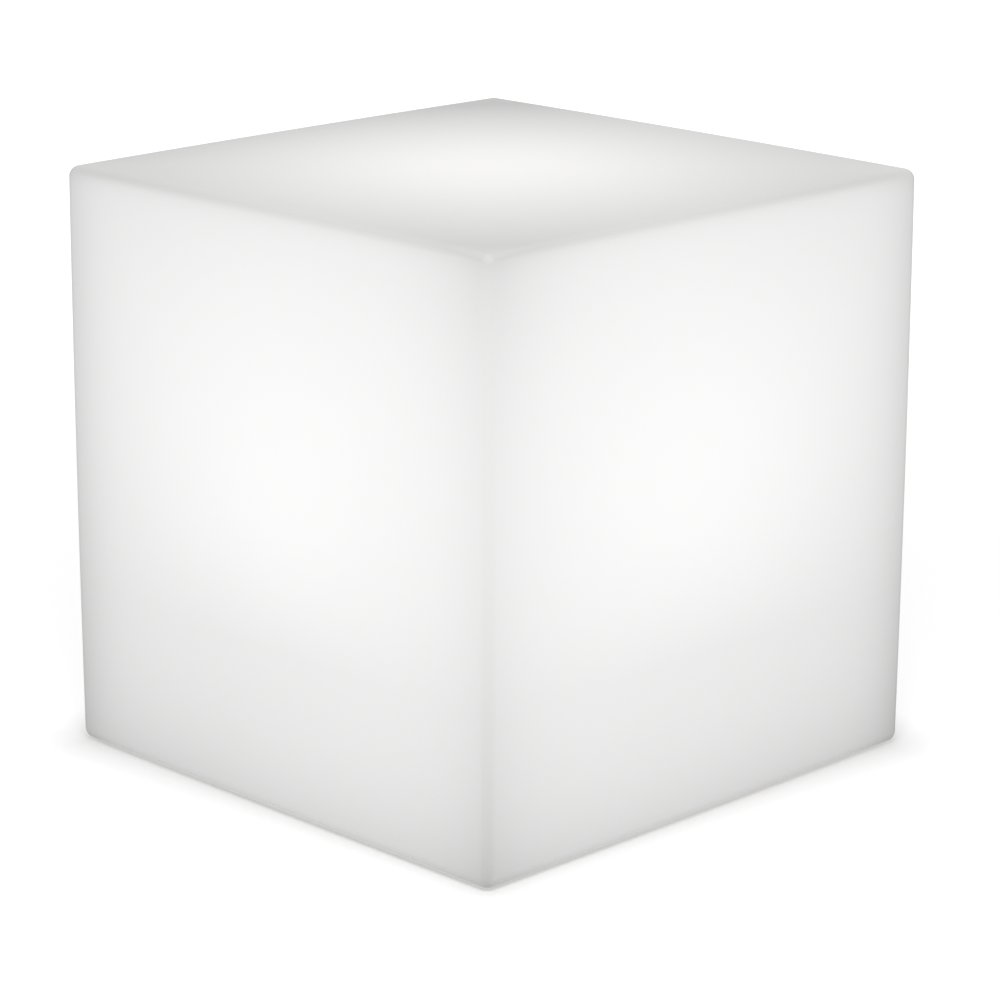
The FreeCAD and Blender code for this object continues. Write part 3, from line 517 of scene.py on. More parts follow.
@dataclass(frozen=True)
class Moulded:
    """Plastic or rubber out of a mould, with a pebbled grain and edges that are rubbed pale."""

    name: str
    colour: Colour
    roughness: float = 0.5
    grain: float = 900.0
    depth: float = 0.00003
    drift: float = 0.06
    rubbed: float = 0.35
    rubbed_tone: float = 0.75
    sheen: float = 0.0
    dust: float = 0.0
    earth: Colour = (0.42, 0.39, 0.34)

    def material(self, effects: Effects) -> Material:
        """Builds the nodes.

        Args:
            effects: the shared shader groups.

        Returns:
            The procedural material.
        """
        material, s, shader = new_material(self.name)
        place = s.place()
        skin = s.group(effects.moulding, Position=place, Colour=self.colour,
                       Roughness=self.roughness, Grain_Scale=self.grain, Drift=self.drift)
        worn = s.group(effects.edge_wear, Position=place)["Mask"]
        pale = tuple(min(1.0, part * (1 - self.rubbed) + self.rubbed * self.rubbed_tone)
                     for part in self.colour)
        colour = s.mix(worn, skin["Colour"], pale)
        if self.dust:
            settled = s.group(effects.dust, Position=place)["Mask"]
            colour = s.mix(s.times(settled, self.dust), colour, self.earth)
        s.wire(shader, Base_Color=colour, Roughness=skin["Roughness"], Sheen_Weight=self.sheen,
               Normal=s.bump(skin["Height"], self.depth))
        return material


@dataclass(frozen=True)
class Metal:
    """Turned or plated metal, with fine rings and edges that are rubbed bright."""

    name: str
    colour: Colour
    roughness: float = 0.3
    rings: float = 3000.0
    depth: float = 0.00001
    edge: float = 0.0003
    dulled: float = 0.82
    polished: float = 1.12
    gloss_change: float = 0.16

    def material(self, effects: Effects) -> Material:
        """Builds the nodes.

        Args:
            effects: the shared shader groups.

        Returns:
            The procedural material.
        """
        material, s, shader = new_material(self.name)
        place = s.place()
        marks = s.group(effects.turning, Position=place, Scale=self.rings)
        worn = s.group(effects.edge_wear, Position=place, Reach=self.edge)["Mask"]
        dull = tuple(part * self.dulled for part in self.colour)
        bright = tuple(min(1.0, part * self.polished) for part in self.colour)
        tone = s.mix(marks["Tone"], dull, self.colour)
        gloss = s.math("MULTIPLY_ADD", marks["Tone"], self.gloss_change,
                       self.roughness - self.gloss_change / 2)
        s.wire(shader, Base_Color=s.mix(worn, tone, bright), Metallic=1.0, Roughness=gloss,
               Normal=s.bump(marks["Height"], self.depth))
        return material


@dataclass(frozen=True)
class GlowingSkin:
    """The cube's white plastic, lit from inside.

    The light that leaves the skin at a point P is a steady glow of the cavity, plus the lamps'
    beam, less what is lost towards the edges. The beam is (h / r)^lobe * d / r^3, where S is the
    middle of the lamps, r the distance from S to P, h the height of P above S, and d the distance
    from S to the face's own plane: the inverse square law for lamps that shine mostly upwards. A
    loss falls with the distance e from an edge or a corner as exp(-e / reach), and each is given
    here as its amount and its reach. The losses at the edges and towards the floor are partly
    painted shade of the rounded edges and of the floor. Sides and top have their own amounts, which
    blend over the rounding between them. The corners' amounts differ from corner to corner, and the
    losses beside the two upright edges where x = y and along the top's rim at x = -half are painted
    shade; where a corner's amount is below zero, it is painted light.
    """

    name: str = "shell_plastic"
    colour: Colour = (0.42, 0.42, 0.418)
    roughness: float = 0.55
    specular: float = 0.3
    grain: float = 520.0
    depth: float = 0.00006
    bump_strength: float = 0.6
    drift_scale: float = 7.0
    drift: float = 0.012
    low: float = 0.0015
    high: float = 0.4015
    half: float = 0.2
    rounding: float = 0.008
    source: float = 0.1122
    lobe: float = 1.064
    beam_unit: float = 30.0
    side_glow: float = 0.392
    side_beam: float = 0.399
    top_glow: float = -0.032
    top_beam: float = 0.929
    under_glow: float = 0.24
    under_seep: Pair = (-0.12, 0.050)
    upright_loss: Pair = (0.116, 0.048)
    upper_loss: Pair = (0.084, 0.060)
    rim_loss: Pair = (0.040, 0.004)
    lower_loss: Pair = (0.170, 0.060)
    foot_loss: Pair = (0.07, 0.035)
    foot_reach: float = 0.080
    painted_side_shade: Pair = (0.100, 0.022)
    painted_side_within: float = 0.10
    top_loss: Pair = (0.033, 0.060)
    painted_left_shade: Pair = (0.050, 0.035)
    painted_corner_shades: tuple[tuple[Place, Pair], ...] = (
        ((0.2, -0.2, 0.4015), (0.11, 0.070)), ((-0.2, 0.2, 0.4015), (0.15, 0.045)),
        ((-0.2, -0.2, 0.4015), (-0.085, 0.045)), ((0.2, 0.2, 0.4015), (-0.10, 0.045)),
        ((-0.2, -0.2, 0.0015), (-0.11, 0.040)), ((0.2, 0.2, 0.0015), (-0.08, 0.040)))
    top_slopes: Pair = (0.0, 0.87)
    under_slopes: Pair = (-0.5, -1.0)
    under_tint_slopes: Pair = (-0.1, -0.8)
    rim_tint: Colour = (1.010, 1.0, 0.970)
    under_tint: Colour = (1.0, 0.985, 0.945)
    edge_shade: float = 0.060
    edge_shade_tint: Colour = (1.0, 1.0, 1.12)
    edge_shade_bends: Pair = (-0.05, 0.52)
    edge_shade_within: Pair = (0.03, 0.01)
    cloud_scale: float = 9.0
    cloud: float = 0.03

    @staticmethod
    def lost(s: Sheet, distance: object, loss: Pair) -> Socket:
        """The light lost at a distance from an edge: amount * exp(-distance / reach)."""
        amount, reach = loss
        return s.times(s.math("EXPONENT", s.math("DIVIDE", distance, -reach)), amount)

    def beyond_rounding(self, s: Sheet, distance: object) -> Socket:
        """How far a point lies beyond the rounding of its edge."""
        return s.math("MAXIMUM", s.less(distance, self.rounding), 0.0)

    def spread(self, s: Sheet, place: object) -> tuple[Socket, Socket]:
        """How the lamps' light spreads: (h / r)^lobe / r^3, and h.

        Args:
            s: the sheet of the material's nodes.
            place: the place on the skin, in metres.

        Returns:
            The beam per metre of d, and the height above the lamps.
        """
        ray = s.vector("SUBTRACT", place, (0.0, 0.0, self.source))
        distance = s.length(ray)
        above = s.math("MAXIMUM", s.split(ray)[2], 0.0)
        lobe = s.math("POWER", s.math("DIVIDE", above, distance), self.lobe)
        beam = s.math("DIVIDE", lobe, s.math("POWER", distance, 3.0))
        return s.math("DIVIDE", beam, self.beam_unit), above

    def side_light(self, s: Sheet, place: object, beam: object) -> Socket:
        """The glow and beam of the four sides, less their losses.

        Args:
            s: the sheet of the material's nodes.
            place: the place on the skin, in metres.
            beam: the beam per metre of d.

        Returns:
            The light.
        """
        x, y, z = s.split(place)
        apart = s.math("ABSOLUTE", s.less(y, x))
        x, y = s.math("ABSOLUTE", x), s.math("ABSOLUTE", y)
        upright = s.less(self.half, s.math("MINIMUM", x, y))
        rim, ground = s.less(self.high, z), s.less(z, self.low)
        light = s.math("MULTIPLY_ADD", s.times(beam, s.math("MAXIMUM", x, y)),
                       self.side_beam, self.side_glow)
        # Painted shade: darker beyond the rounding of the two upright edges where x = y.
        side_shade = s.times(s.span(apart, self.painted_side_within, 0.0),
                         self.lost(s, self.beyond_rounding(s, upright), self.painted_side_shade))
        # Partly painted shade: darker at the rounded edges and towards the floor.
        foot = s.times(self.lost(s, upright, self.foot_loss),
                       self.lost(s, ground, (1.0, self.foot_reach)))
        for loss in (self.lost(s, upright, self.upright_loss), self.lost(s, rim, self.upper_loss),
                     self.lost(s, self.beyond_rounding(s, rim), self.rim_loss),
                     self.lost(s, ground, self.lower_loss), side_shade, foot):
            light = s.less(light, loss)
        return light

    def inward(self, s: Sheet, place: object) -> Socket:
        """How far a place on the top or the underside lies from the nearest rim."""
        x, y, _ = s.split(s.vector("ABSOLUTE", place))
        return s.less(self.half, s.math("MAXIMUM", x, y))

    def top_light(self, s: Sheet, place: object, beam: object) -> Socket:
        """The glow and beam of the top, less its losses.

        Args:
            s: the sheet of the material's nodes.
            place: the place on the skin, in metres.
            beam: the beam through the top.

        Returns:
            The light.
        """
        light = s.math("MULTIPLY_ADD", beam, self.top_beam, self.top_glow)
        light = s.less(light, self.lost(s, self.inward(s, place), self.top_loss))
        # Painted shade: the top darker towards its rim at x = -half.
        left = s.math("ADD", s.split(place)[0], self.half)
        return s.less(light, self.lost(s, left, self.painted_left_shade))

    def under_light(self, s: Sheet, place: object) -> Socket:
        """The light of the underside, which the light unit shades and the outer rim feeds."""
        return s.less(self.under_glow, self.lost(s, self.inward(s, place), self.under_seep))

    def painted_edge_shade(self, s: Sheet, place: object, facing: object) -> Socket:
        """Painted shade on the four rounded upright edges: most where they face 45 degrees.

        Args:
            s: the sheet of the material's nodes.
            place: the place on the skin, in metres.
            facing: the skin's normal.

        Returns:
            The light that the edges lack.
        """
        nx, ny, _ = s.split(facing)
        bent = s.span(s.math("ABSOLUTE", s.times(nx, ny)), *self.edge_shade_bends)
        x, y, _ = s.split(s.vector("ABSOLUTE", place))
        near = s.span(s.less(self.half, s.math("MINIMUM", x, y)), *self.edge_shade_within)
        return s.times(s.times(bent, near), self.edge_shade)

    def glow(self, s: Sheet) -> Socket:
        """Builds the glow's formula.

        Args:
            s: the sheet of the material's nodes.

        Returns:
            The colour of the light that leaves the skin.
        """
        coordinates = s.node("TexCoord").outputs
        place, facing = coordinates["Object"], coordinates["Normal"]
        beam, above = self.spread(s, place)
        slope = s.split(facing)[2]
        upwards = s.span(slope, *self.top_slopes)
        total = s.blend(upwards, self.side_light(s, place, beam),
                        self.top_light(s, place, s.times(beam, above)))
        # Painted shade at six corners, each with its own amount; an amount below zero paints light.
        for corner, loss in self.painted_corner_shades:
            total = s.less(total, self.lost(s, s.length(s.vector("SUBTRACT", place, corner)), loss))
        total = s.blend(s.span(slope, *self.under_slopes), total, self.under_light(s, place))
        cloud = s.less(s.noise(place, self.cloud_scale, 2.0), NOISE_MIDDLE)
        total = s.times(total, s.math("MULTIPLY_ADD", cloud, self.cloud, 1.0))
        tint = s.mix(upwards, WHITE, self.rim_tint)
        tint = s.mix(s.span(slope, *self.under_tint_slopes), tint, self.under_tint)
        # Painted shade: darker, warmer lines on the rounded upright edges.
        line = s.scaled(self.edge_shade_tint, self.painted_edge_shade(s, place, facing))
        return s.vector("MAXIMUM", s.vector("SUBTRACT", s.scaled(tint, total), line), ORIGIN)

    def material(self, effects: Effects) -> Material:
        """Builds the nodes.

        Args:
            effects: the shared shader groups.

        Returns:
            The procedural material.
        """
        material, s, shader = new_material(self.name)
        skin = s.group(effects.moulding, Position=s.place(), Colour=self.colour,
                       Roughness=self.roughness, Grain_Scale=self.grain,
                       Drift_Scale=self.drift_scale, Drift=self.drift)
        s.wire(shader, Base_Color=skin["Colour"], Roughness=skin["Roughness"],
               Normal=s.bump(skin["Height"], self.depth, self.bump_strength),
               Specular_IOR_Level=self.specular, Emission_Color=self.glow(s),
               Emission_Strength=1.0)
        return material


@dataclass(frozen=True)
class SolderMask:
    """A circuit board's lacquer over copper: traces, ground fill, and tinned dots."""

    name: str
    colour: Colour
    trace: Colour
    tin: Colour = (0.62, 0.61, 0.58)
    tin_metal: float = 0.9
    roughness: float = 0.32
    coat: float = 0.3
    grain: float = 1500.0
    drift_scale: float = 60.0
    drift: float = 0.12
    depth: float = 0.00004
    pitch: float = 420.0
    trace_width: float = 0.06
    dot_pitch: float = 0.9
    dot_scatter: float = 0.35
    dot_edge: Pair = (0.16, 0.12)
    ground_scale: float = 70.0
    traced_from: Pair = (0.46, 0.52)
    dotted_from: Pair = (0.52, 0.56)

    def material(self, effects: Effects) -> Material:
        """Builds the nodes.

        Args:
            effects: the shared shader groups.

        Returns:
            The procedural material.
        """
        material, s, shader = new_material(self.name)
        place = s.place()
        x, y, _ = s.split(place)
        flat = s.joined(x, y, 0.0)
        ground = s.noise(flat, self.ground_scale, 1.0)
        ways = s.wire(s.node("TexBrick", offset=0.5, squash=1.0), Vector=flat, Scale=self.pitch,
                      Mortar_Size=self.trace_width, Color1=ORIGIN, Color2=ORIGIN, Mortar=WHITE)
        traced = s.times(ways.outputs["Color"], s.span(ground, *self.traced_from))
        dots = s.wire(s.node("TexVoronoi"), Vector=flat, Scale=self.pitch * self.dot_pitch,
                      Randomness=self.dot_scatter)
        tinned = s.times(s.span(dots.outputs["Distance"], *self.dot_edge),
                         s.span(ground, *self.dotted_from))
        skin = s.group(effects.moulding, Position=place, Colour=self.colour,
                       Roughness=self.roughness, Grain_Scale=self.grain,
                       Drift_Scale=self.drift_scale, Drift=self.drift)
        lacquer = s.mix(traced, skin["Colour"], self.trace)
        s.wire(shader, Base_Color=s.mix(tinned, lacquer, self.tin),
               Metallic=s.times(tinned, self.tin_metal), Roughness=skin["Roughness"],
               Normal=s.bump(s.math("MAXIMUM", traced, tinned), self.depth),
               Coat_Weight=self.coat)
        return material


@dataclass(frozen=True)
class CellSleeve:
    """A shrink sleeve round a battery cell: two colours along X, with a seam and fine scuffs."""

    name: str = "cell_sleeve"
    colour: Colour = (0.045, 0.20, 0.38)
    roughness: float = 0.26
    drift_scale: float = 45.0
    drift: float = 0.10
    depth: float = 0.00002
    band: Colour = (0.72, 0.72, 0.70)
    band_ends: Pair = (0.017, 0.021)
    band_edge: float = 0.0002
    scuff_scales: Place = (60.0, 900.0, 900.0)
    scuffed_from: Pair = (0.62, 0.75)
    scuff: float = 0.35
    scuff_colour: Colour = (0.5, 0.52, 0.55)

    def material(self, effects: Effects) -> Material:
        """Builds the nodes.

        Args:
            effects: the shared shader groups.

        Returns:
            The procedural material.
        """
        material, s, shader = new_material(self.name)
        place = s.place()
        skin = s.group(effects.moulding, Position=place, Colour=self.colour,
                       Roughness=self.roughness, Drift_Scale=self.drift_scale, Drift=self.drift)
        begun, ended = (s.span(s.split(place)[0], end, end + self.band_edge)
                        for end in self.band_ends)
        colour = s.mix(s.less(begun, ended), skin["Colour"], self.band)
        scuffs = s.noise(s.vector("MULTIPLY", place, self.scuff_scales), 1.0, 4.0, 0.7)
        share = s.times(s.span(scuffs, *self.scuffed_from), self.scuff)
        s.wire(shader, Base_Color=s.mix(share, colour, self.scuff_colour),
               Roughness=skin["Roughness"], Normal=s.bump(scuffs, self.depth))
        return material


@dataclass(frozen=True)
class Luminous:
    """Milky or clear plastic, or a lamp's phosphor, that carries light."""

    name: str
    colour: Colour
    light: Colour
    strength: float
    roughness: float = 0.4
    clear: float = 0.0
    refraction: float = 1.49
    drift: float = 0.05
    depth: float = 0.00002
    cloud_scale: float = 120.0
    cloud: float = 0.2

    def material(self, effects: Effects) -> Material:
        """Builds the nodes.

        Args:
            effects: the shared shader groups.

        Returns:
            The procedural material.
        """
        material, s, shader = new_material(self.name)
        place = s.place()
        skin = s.group(effects.moulding, Position=place, Colour=self.colour,
                       Roughness=self.roughness, Drift=self.drift)
        cloud = s.math("MULTIPLY_ADD", s.noise(place, self.cloud_scale, 2.0), self.cloud,
                       1.0 - self.cloud / 2)
        s.wire(shader, Base_Color=skin["Colour"], Roughness=skin["Roughness"],
               Normal=s.bump(skin["Height"], self.depth), Transmission_Weight=self.clear,
               IOR=self.refraction, Emission_Color=s.scaled(self.light, cloud),
               Emission_Strength=self.strength)
        return material


Finish = Moulded | Metal | GlowingSkin | SolderMask | CellSleeve | Luminous


class Bench:
    """Where pieces get their finish and are put on the body that carries them."""

    def __init__(self, nodes: dict[str, bpy.types.Object], effects: Effects) -> None:
        """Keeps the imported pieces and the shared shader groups."""
        self.nodes, self.effects = nodes, effects
        self.made: dict[Finish, Material] = {}

    def material(self, finish: Finish) -> Material:
        """Makes a finish's material once, and gives it out from then on.

        Args:
            finish: the finish.

        Returns:
            Its material.
        """
        if finish not in self.made:
            self.made[finish] = finish.material(self.effects)
        return self.made[finish]

    def dress(self, coats: dict[str, Finish]) -> None:
        """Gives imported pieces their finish, by name.

        Args:
            coats: each piece's finish.
        """
        for name, finish in coats.items():
            self.nodes[name].material_slots[0].material = self.material(finish)
            LOG.info("%s: %s", name, finish.name)

    def add(self, piece: bpy.types.Object, finish: Finish, body: str, *replaced: str) -> None:
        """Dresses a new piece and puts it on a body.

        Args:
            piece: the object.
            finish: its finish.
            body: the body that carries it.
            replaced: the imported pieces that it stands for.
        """
        piece.data.materials.append(self.material(finish))
        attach(piece, body)
        if replaced:
            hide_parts(*replaced)
        LOG.info("%s: %s, %d faces", piece.name, finish.name, len(piece.data.polygons))


# ------------------------------------------------------------------ studio
@dataclass
class Studio:
    """The floor, the surrounding light, the lamps and the camera."""

    floor_half: float = 30.0
    floor_colour: Colour = (0.8, 0.8, 0.8)
    floor_white: float = 0.12
    far_white: float = 0.40
    white_reach: Pair = (0.40, 1.6)
    sky: float = 0.80
    lens: float = 129.73
    sensor: float = 36.0
    distance: float = 2.4286
    azimuth: float = 45.1732
    elevation: float = 15.9355
    roll: float = 0.1939
    aim_right: float = 0.0062
    aim_height: float = 0.1725
    lamp_aim: Place = (0.0, 0.0, 0.2)
    lamps: list[tuple[str, Place, float, float]] = field(default_factory=lambda: [
        ("softbox_front", (0.62, -0.62, 0.72), 0.4, 4.0),
        ("softbox_above", (0.0, 0.0, 4.0), 0.5, 45.0),
    ])

    def build(self) -> None:
        """Makes the whole studio."""
        self.build_floor()
        self.build_sky()
        for lamp in self.lamps:
            self.build_lamp(*lamp)
        self.build_camera()

    @staticmethod
    def seen_directly(s: Sheet) -> Socket:
        """Tells the rays that show the white surroundings: camera, mirror and glass rays.

        Args:
            s: the sheet of the nodes.

        Returns:
            One for such a ray, and zero for the others.
        """
        path = s.node("LightPath").outputs
        seen = s.math("MAXIMUM", path["Is Camera Ray"], path["Is Glossy Ray"])
        return s.math("MAXIMUM", seen, path["Is Transmission Ray"])

    def build_floor(self) -> None:
        """A white floor that keeps the shadow and is clear from below."""
        side = np.linspace(-self.floor_half, self.floor_half, 3)
        x, y = np.meshgrid(side, side, indexing="ij")
        floor = surface_object("studio_floor", [Patch(np.stack([x, y, np.zeros_like(x)], -1))])
        if floor.data.polygons[0].normal.z < 0:
            floor.data.flip_normals()
        material, s, shader = new_material("floor_paper")
        white = s.span(s.length(s.place()), *self.white_reach, self.floor_white, self.far_white)
        s.wire(shader, Base_Color=self.floor_colour, Roughness=1.0, Specular_IOR_Level=0.0,
               Emission_Color=WHITE, Emission_Strength=s.times(self.seen_directly(s), white))
        from_below = s.node("NewGeometry").outputs["Backfacing"]
        clear = s.node("BsdfTransparent").outputs[0]
        paper = s.worked(s.node("MixShader"), (from_below, shader.outputs[0], clear), "Shader")
        s.wire(s.tree.nodes["Material Output"], Surface=paper)
        floor.data.materials.append(material)

    def build_sky(self) -> None:
        """An even sky that looks white and lights at its own level."""
        world = bpy.data.worlds.new("studio_sky")
        bpy.context.scene.world = world
        world.use_nodes = True
        s = Sheet(world.node_tree)
        level = s.math("MULTIPLY_ADD", self.seen_directly(s), 1.0 - self.sky, self.sky)
        s.wire(world.node_tree.nodes["Background"], Color=WHITE, Strength=level)

    def build_lamp(self, name: str, place: Place, size: float, watts: float) -> None:
        """A square soft lamp that faces the cube's middle.

        Args:
            name: the lamp's name.
            place: where it hangs.
            size: the length of its side.
            watts: its power.
        """
        lamp = bpy.data.lights.new(name, "AREA")
        lamp.shape, lamp.size, lamp.energy = "SQUARE", size, watts
        holder = bpy.data.objects.new(name, lamp)
        holder.location = place
        beam = Vector(self.lamp_aim) - Vector(place)
        holder.rotation_euler = beam.to_track_quat("-Z", "Y").to_euler()
        holder.visible_camera = False
        holder.visible_glossy = False
        bpy.context.scene.collection.objects.link(holder)

    def build_camera(self) -> None:
        """A camera that looks down on one corner of the cube.

        It stands at aim + distance * back, where back = (sin a cos e, -cos a cos e, sin e), and is
        turned about that line by the roll.
        """
        angles = (self.azimuth, self.elevation, self.roll)
        azimuth, elevation, roll = (math.radians(angle) for angle in angles)
        back = Vector((math.sin(azimuth) * math.cos(elevation),
                       -math.cos(azimuth) * math.cos(elevation), math.sin(elevation)))
        right = Vector((math.cos(azimuth), math.sin(azimuth), 0.0))
        up = back.cross(right)
        place = right * self.aim_right + Vector((0.0, 0.0, self.aim_height)) + back * self.distance
        axes = Matrix((right * math.cos(roll) + up * math.sin(roll),
                       up * math.cos(roll) - right * math.sin(roll), back)).transposed()
        data = bpy.data.cameras.new("corner_view")
        data.lens, data.sensor_width = self.lens, self.sensor
        camera = bpy.data.objects.new("corner_view", data)
        camera.matrix_world = Matrix.Translation(place) @ axes.to_4x4()
        bpy.context.scene.collection.objects.link(camera)
        bpy.context.scene.camera = camera


# ------------------------------------------------------------------ the cube's shell
@dataclass
class CubeShell:
    """The moulded cube, outside and inside, with its well, port, foot recesses and bosses.

    The skin is a rounded box whose faces stand out in the middle. A point q of a plain box is
    drawn to p = c + r (q - c) / |q - c|, where c is q held within the box less the rounding r.
    Then each coordinate moves outwards by crown * (1 - (u^2 + v^2) / half^2) on its own face,
    where u and v are the other two coordinates.
    """

    wall: float = 0.004
    crown: float = 0.0008
    rounding: float = 0.008
    crease: float = 40.0
    arc_steps: int = 8
    middle_steps: int = 28
    corner_steps: int = 14
    ring_steps: int = 8
    boss_steps: int = 32
    patch_half: float = 0.128
    well_radius: float = 0.075
    mouth_radius: float = 0.003
    ceiling: float = 0.0175
    ceiling_radius: float = 0.002
    port_radius: float = 0.054
    foot_place: float = 0.164
    foot_recess: Pair = (0.0132, 0.0042)
    foot_levels: Pair = (0.004, 0.012)
    boss_count: int = 6
    boss_ring: float = 0.0625
    boss_radius: float = 0.008
    boss_top: float = 0.0305
    low: float = field(init=False)
    high: float = field(init=False)
    half: float = field(init=False)

    def __post_init__(self) -> None:
        """Reads the shell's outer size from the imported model."""
        low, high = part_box("cube_shell")
        self.low, self.high, self.half = low.z, high.z, high.x

    def flat(self, inset: float) -> float:
        """Half the flat part of the plain box, which lies inset within the outer skin."""
        return self.half - self.crown - inset - self.rounding

    def middle(self) -> Grid:
        """The steps across the underside's middle square."""
        return np.linspace(-self.patch_half, self.patch_half, self.middle_steps + 1)

    def corner(self, inset: float) -> Grid:
        """The steps from the middle square out to the rounding."""
        return np.linspace(self.patch_half, self.flat(inset), self.corner_steps + 1)

    def steps(self, inset: float) -> Grid:
        """The plain box's coordinates along one side, closer together in the rounding.

        Args:
            inset: how far the skin lies inside the outer one.

        Returns:
            The coordinates, from minus to plus half the side.
        """
        lean = np.tan(np.radians(np.linspace(0.0, 45.0, self.arc_steps + 1)))
        tangent, corner = self.flat(inset) + self.rounding * lean, self.corner(inset)
        return np.concatenate([-tangent[::-1], -corner[-2:0:-1], self.middle(), corner[1:],
                               tangent[1:]])

    def skin(self, inset: float) -> list[Patch]:
        """The six faces of the rounded box, without the flat middle of the underside.

        Args:
            inset: how far the skin lies inside the outer one.

        Returns:
            One patch for each face.
        """
        along, flat = self.steps(inset), self.flat(inset)
        u, v = np.meshgrid(along, along, indexing="ij")
        wall = np.full_like(u, flat + self.rounding)
        inner = (np.abs(along[1:] + along[:-1]) / 2) < flat
        rim = ~(inner[:, None] & inner[None, :])
        patches = []
        for axis in range(3):
            for side in (-1.0, 1.0):
                parts = [u, v]
                parts.insert(axis, side * wall)
                keep = rim if axis == 2 and side < 0 else None
                patches.append(Patch(self.shaped(np.stack(parts, -1), inset), keep))
        return patches

    def shaped(self, box: Grid, inset: float) -> Grid:
        """Rounds, crowns and lifts points of a plain box, by the class's formula.

        Args:
            box: the plain box's points, about its middle.
            inset: how far the skin lies inside the outer one.

        Returns:
            The points of the skin.
        """
        flat = self.flat(inset)
        core = np.clip(box, -flat, flat)
        arm = box - core
        points = core + self.rounding * arm / np.linalg.norm(arm, axis=-1, keepdims=True)
        share = np.clip((np.abs(points) - flat) / self.rounding, 0.0, 1.0)
        squares = (points / (flat + self.rounding)) ** 2
        swell = self.crown * (1.0 - (squares.sum(-1, keepdims=True) - squares))
        swell[..., 2] = np.where(points[..., 2] < 0, self.crown, swell[..., 2])
        lift = np.array([0.0, 0.0, (self.low + self.high) / 2])
        return points + np.sign(points) * share * swell + lift

    def foot_squares(self, inset: float) -> list[tuple[Grid, Grid, Pair]]:
        """The squares of the underside round the feet: their columns, rows and middles."""
        corner, place = self.corner(inset), self.foot_place
        return [(np.sort(sx * corner), np.sort(sy * corner), (sx * place, sy * place))
                for sx in (-1, 1) for sy in (-1, 1)]

    def underside(self, inset: float, well: float) -> list[Patch]:
        """The flat underside round the well and the four foot recesses.

        Args:
            inset: how far the skin lies inside the outer one.
            well: the radius of the middle hole.

        Returns:
            A ring round each hole, and the strips between them.
        """
        level, middle, foot = self.low + inset, self.middle(), self.foot_recess[0] + inset
        patches = [self.ring(middle, middle, (0.0, 0.0), well, level)]
        patches += [self.ring(*square, foot, level) for square in self.foot_squares(inset)]
        for side in (-1, 1):
            u, v = np.meshgrid(middle, side * self.corner(inset), indexing="ij")
            flat = np.full_like(u, level)
            patches += [Patch(np.stack([u, v, flat], -1)), Patch(np.stack([v, u, flat], -1))]
        return patches

    def ring(self, xs: Grid, ys: Grid, centre: Pair, radius: float, level: float) -> Patch:
        """A level surface from a circle out to a rectangle: (1 - t) circle_k + t outline_k.

        Args:
            xs: the rectangle's columns.
            ys: its rows.
            centre: the circle's middle.
            radius: the circle's radius.
            level: the height.

        Returns:
            The surface.
        """
        outline = np.concatenate([
            np.stack([xs[:-1], np.full(len(xs) - 1, ys[0])], -1),
            np.stack([np.full(len(ys) - 1, xs[-1]), ys[:-1]], -1),
            np.stack([xs[:0:-1], np.full(len(xs) - 1, ys[-1])], -1),
            np.stack([np.full(len(ys), xs[0]), ys[::-1]], -1)])
        arm = outline - np.array(centre)
        circle = np.array(centre) + radius * arm / np.linalg.norm(arm, axis=-1, keepdims=True)
        share = np.linspace(0.0, 1.0, self.ring_steps + 1)[:, None, None]
        flat = (1 - share) * circle + share * outline
        return Patch(np.concatenate([flat, np.full(flat.shape[:2] + (1,), level)], -1))

    def rim_angles(self, xs: Grid, ys: Grid, centre: Pair) -> Grid:
        """The angles at which a ring's circle has its points."""
        points = self.ring(xs, ys, centre, self.well_radius, 0.0).points[0]
        return np.unwrap(np.arctan2(points[:, 1] - centre[1], points[:, 0] - centre[0]))

    def well_and_port(self) -> Patch:
        """The well, its ceiling and the port, from the mouth to the inner floor.

        Returns:
            The turned surface, whose rim has the points of the ring round it.
        """
        mouth = self.well_radius + self.mouth_radius
        outer_wall, above = self.well_radius + self.wall, self.ceiling + self.wall
        turn = (self.well_radius - self.ceiling_radius, self.ceiling - self.ceiling_radius)
        profile = np.concatenate([
            arc((mouth, self.low + self.mouth_radius), self.mouth_radius, 270, -90),
            arc(turn, self.ceiling_radius, 0),
            np.array([(self.port_radius, self.ceiling), (self.port_radius, above),
                      (outer_wall, above), (outer_wall, self.low + self.wall)])])
        return turned(profile, self.rim_angles(self.middle(), self.middle(), (0.0, 0.0)))

    def foot_sockets(self, inset: float) -> list[Patch]:
        """The recesses that hold the feet, or the domes over them inside the cube.

        Args:
            inset: how far the skin lies inside the outer one.

        Returns:
            One turned surface for each foot.
        """
        pad, stem = (radius + inset for radius in self.foot_recess)
        step, top = (level + inset for level in self.foot_levels)
        profile = np.array([(pad, self.low + inset), (pad, step), (stem, step), (stem, top),
                            (0.0, top)])
        return [turned(profile, self.rim_angles(*square), (*square[2], 0.0))
                for square in self.foot_squares(inset)]

    def bosses(self) -> list[Patch]:
        """The bosses over the brass nuts, which stand on the well's ceiling.

        Returns:
            One turned surface for each boss.
        """
        profile = np.array([(self.boss_radius, self.ceiling + self.wall / 2),
                            (self.boss_radius, self.boss_top), (0.0, self.boss_top)])
        angles = np.arange(self.boss_count) * TURN / self.boss_count
        return [turned(profile, self.boss_steps, place)
                for place in self.boss_ring * level_directions(angles)]

    def build(self, bench: Bench) -> None:
        """Builds the shell and dresses it.

        Args:
            bench: where the pieces are dressed.
        """
        patches = [self.well_and_port(), *self.bosses()]
        for inset, well in ((0.0, self.well_radius + self.mouth_radius),
                            (self.wall, self.well_radius + self.wall)):
            patches += self.skin(inset) + self.underside(inset, well) + self.foot_sockets(inset)
        shell = surface_object("glowing_shell", patches, crease=self.crease)
        bench.add(shell, GlowingSkin(), "shell", "cube_shell")


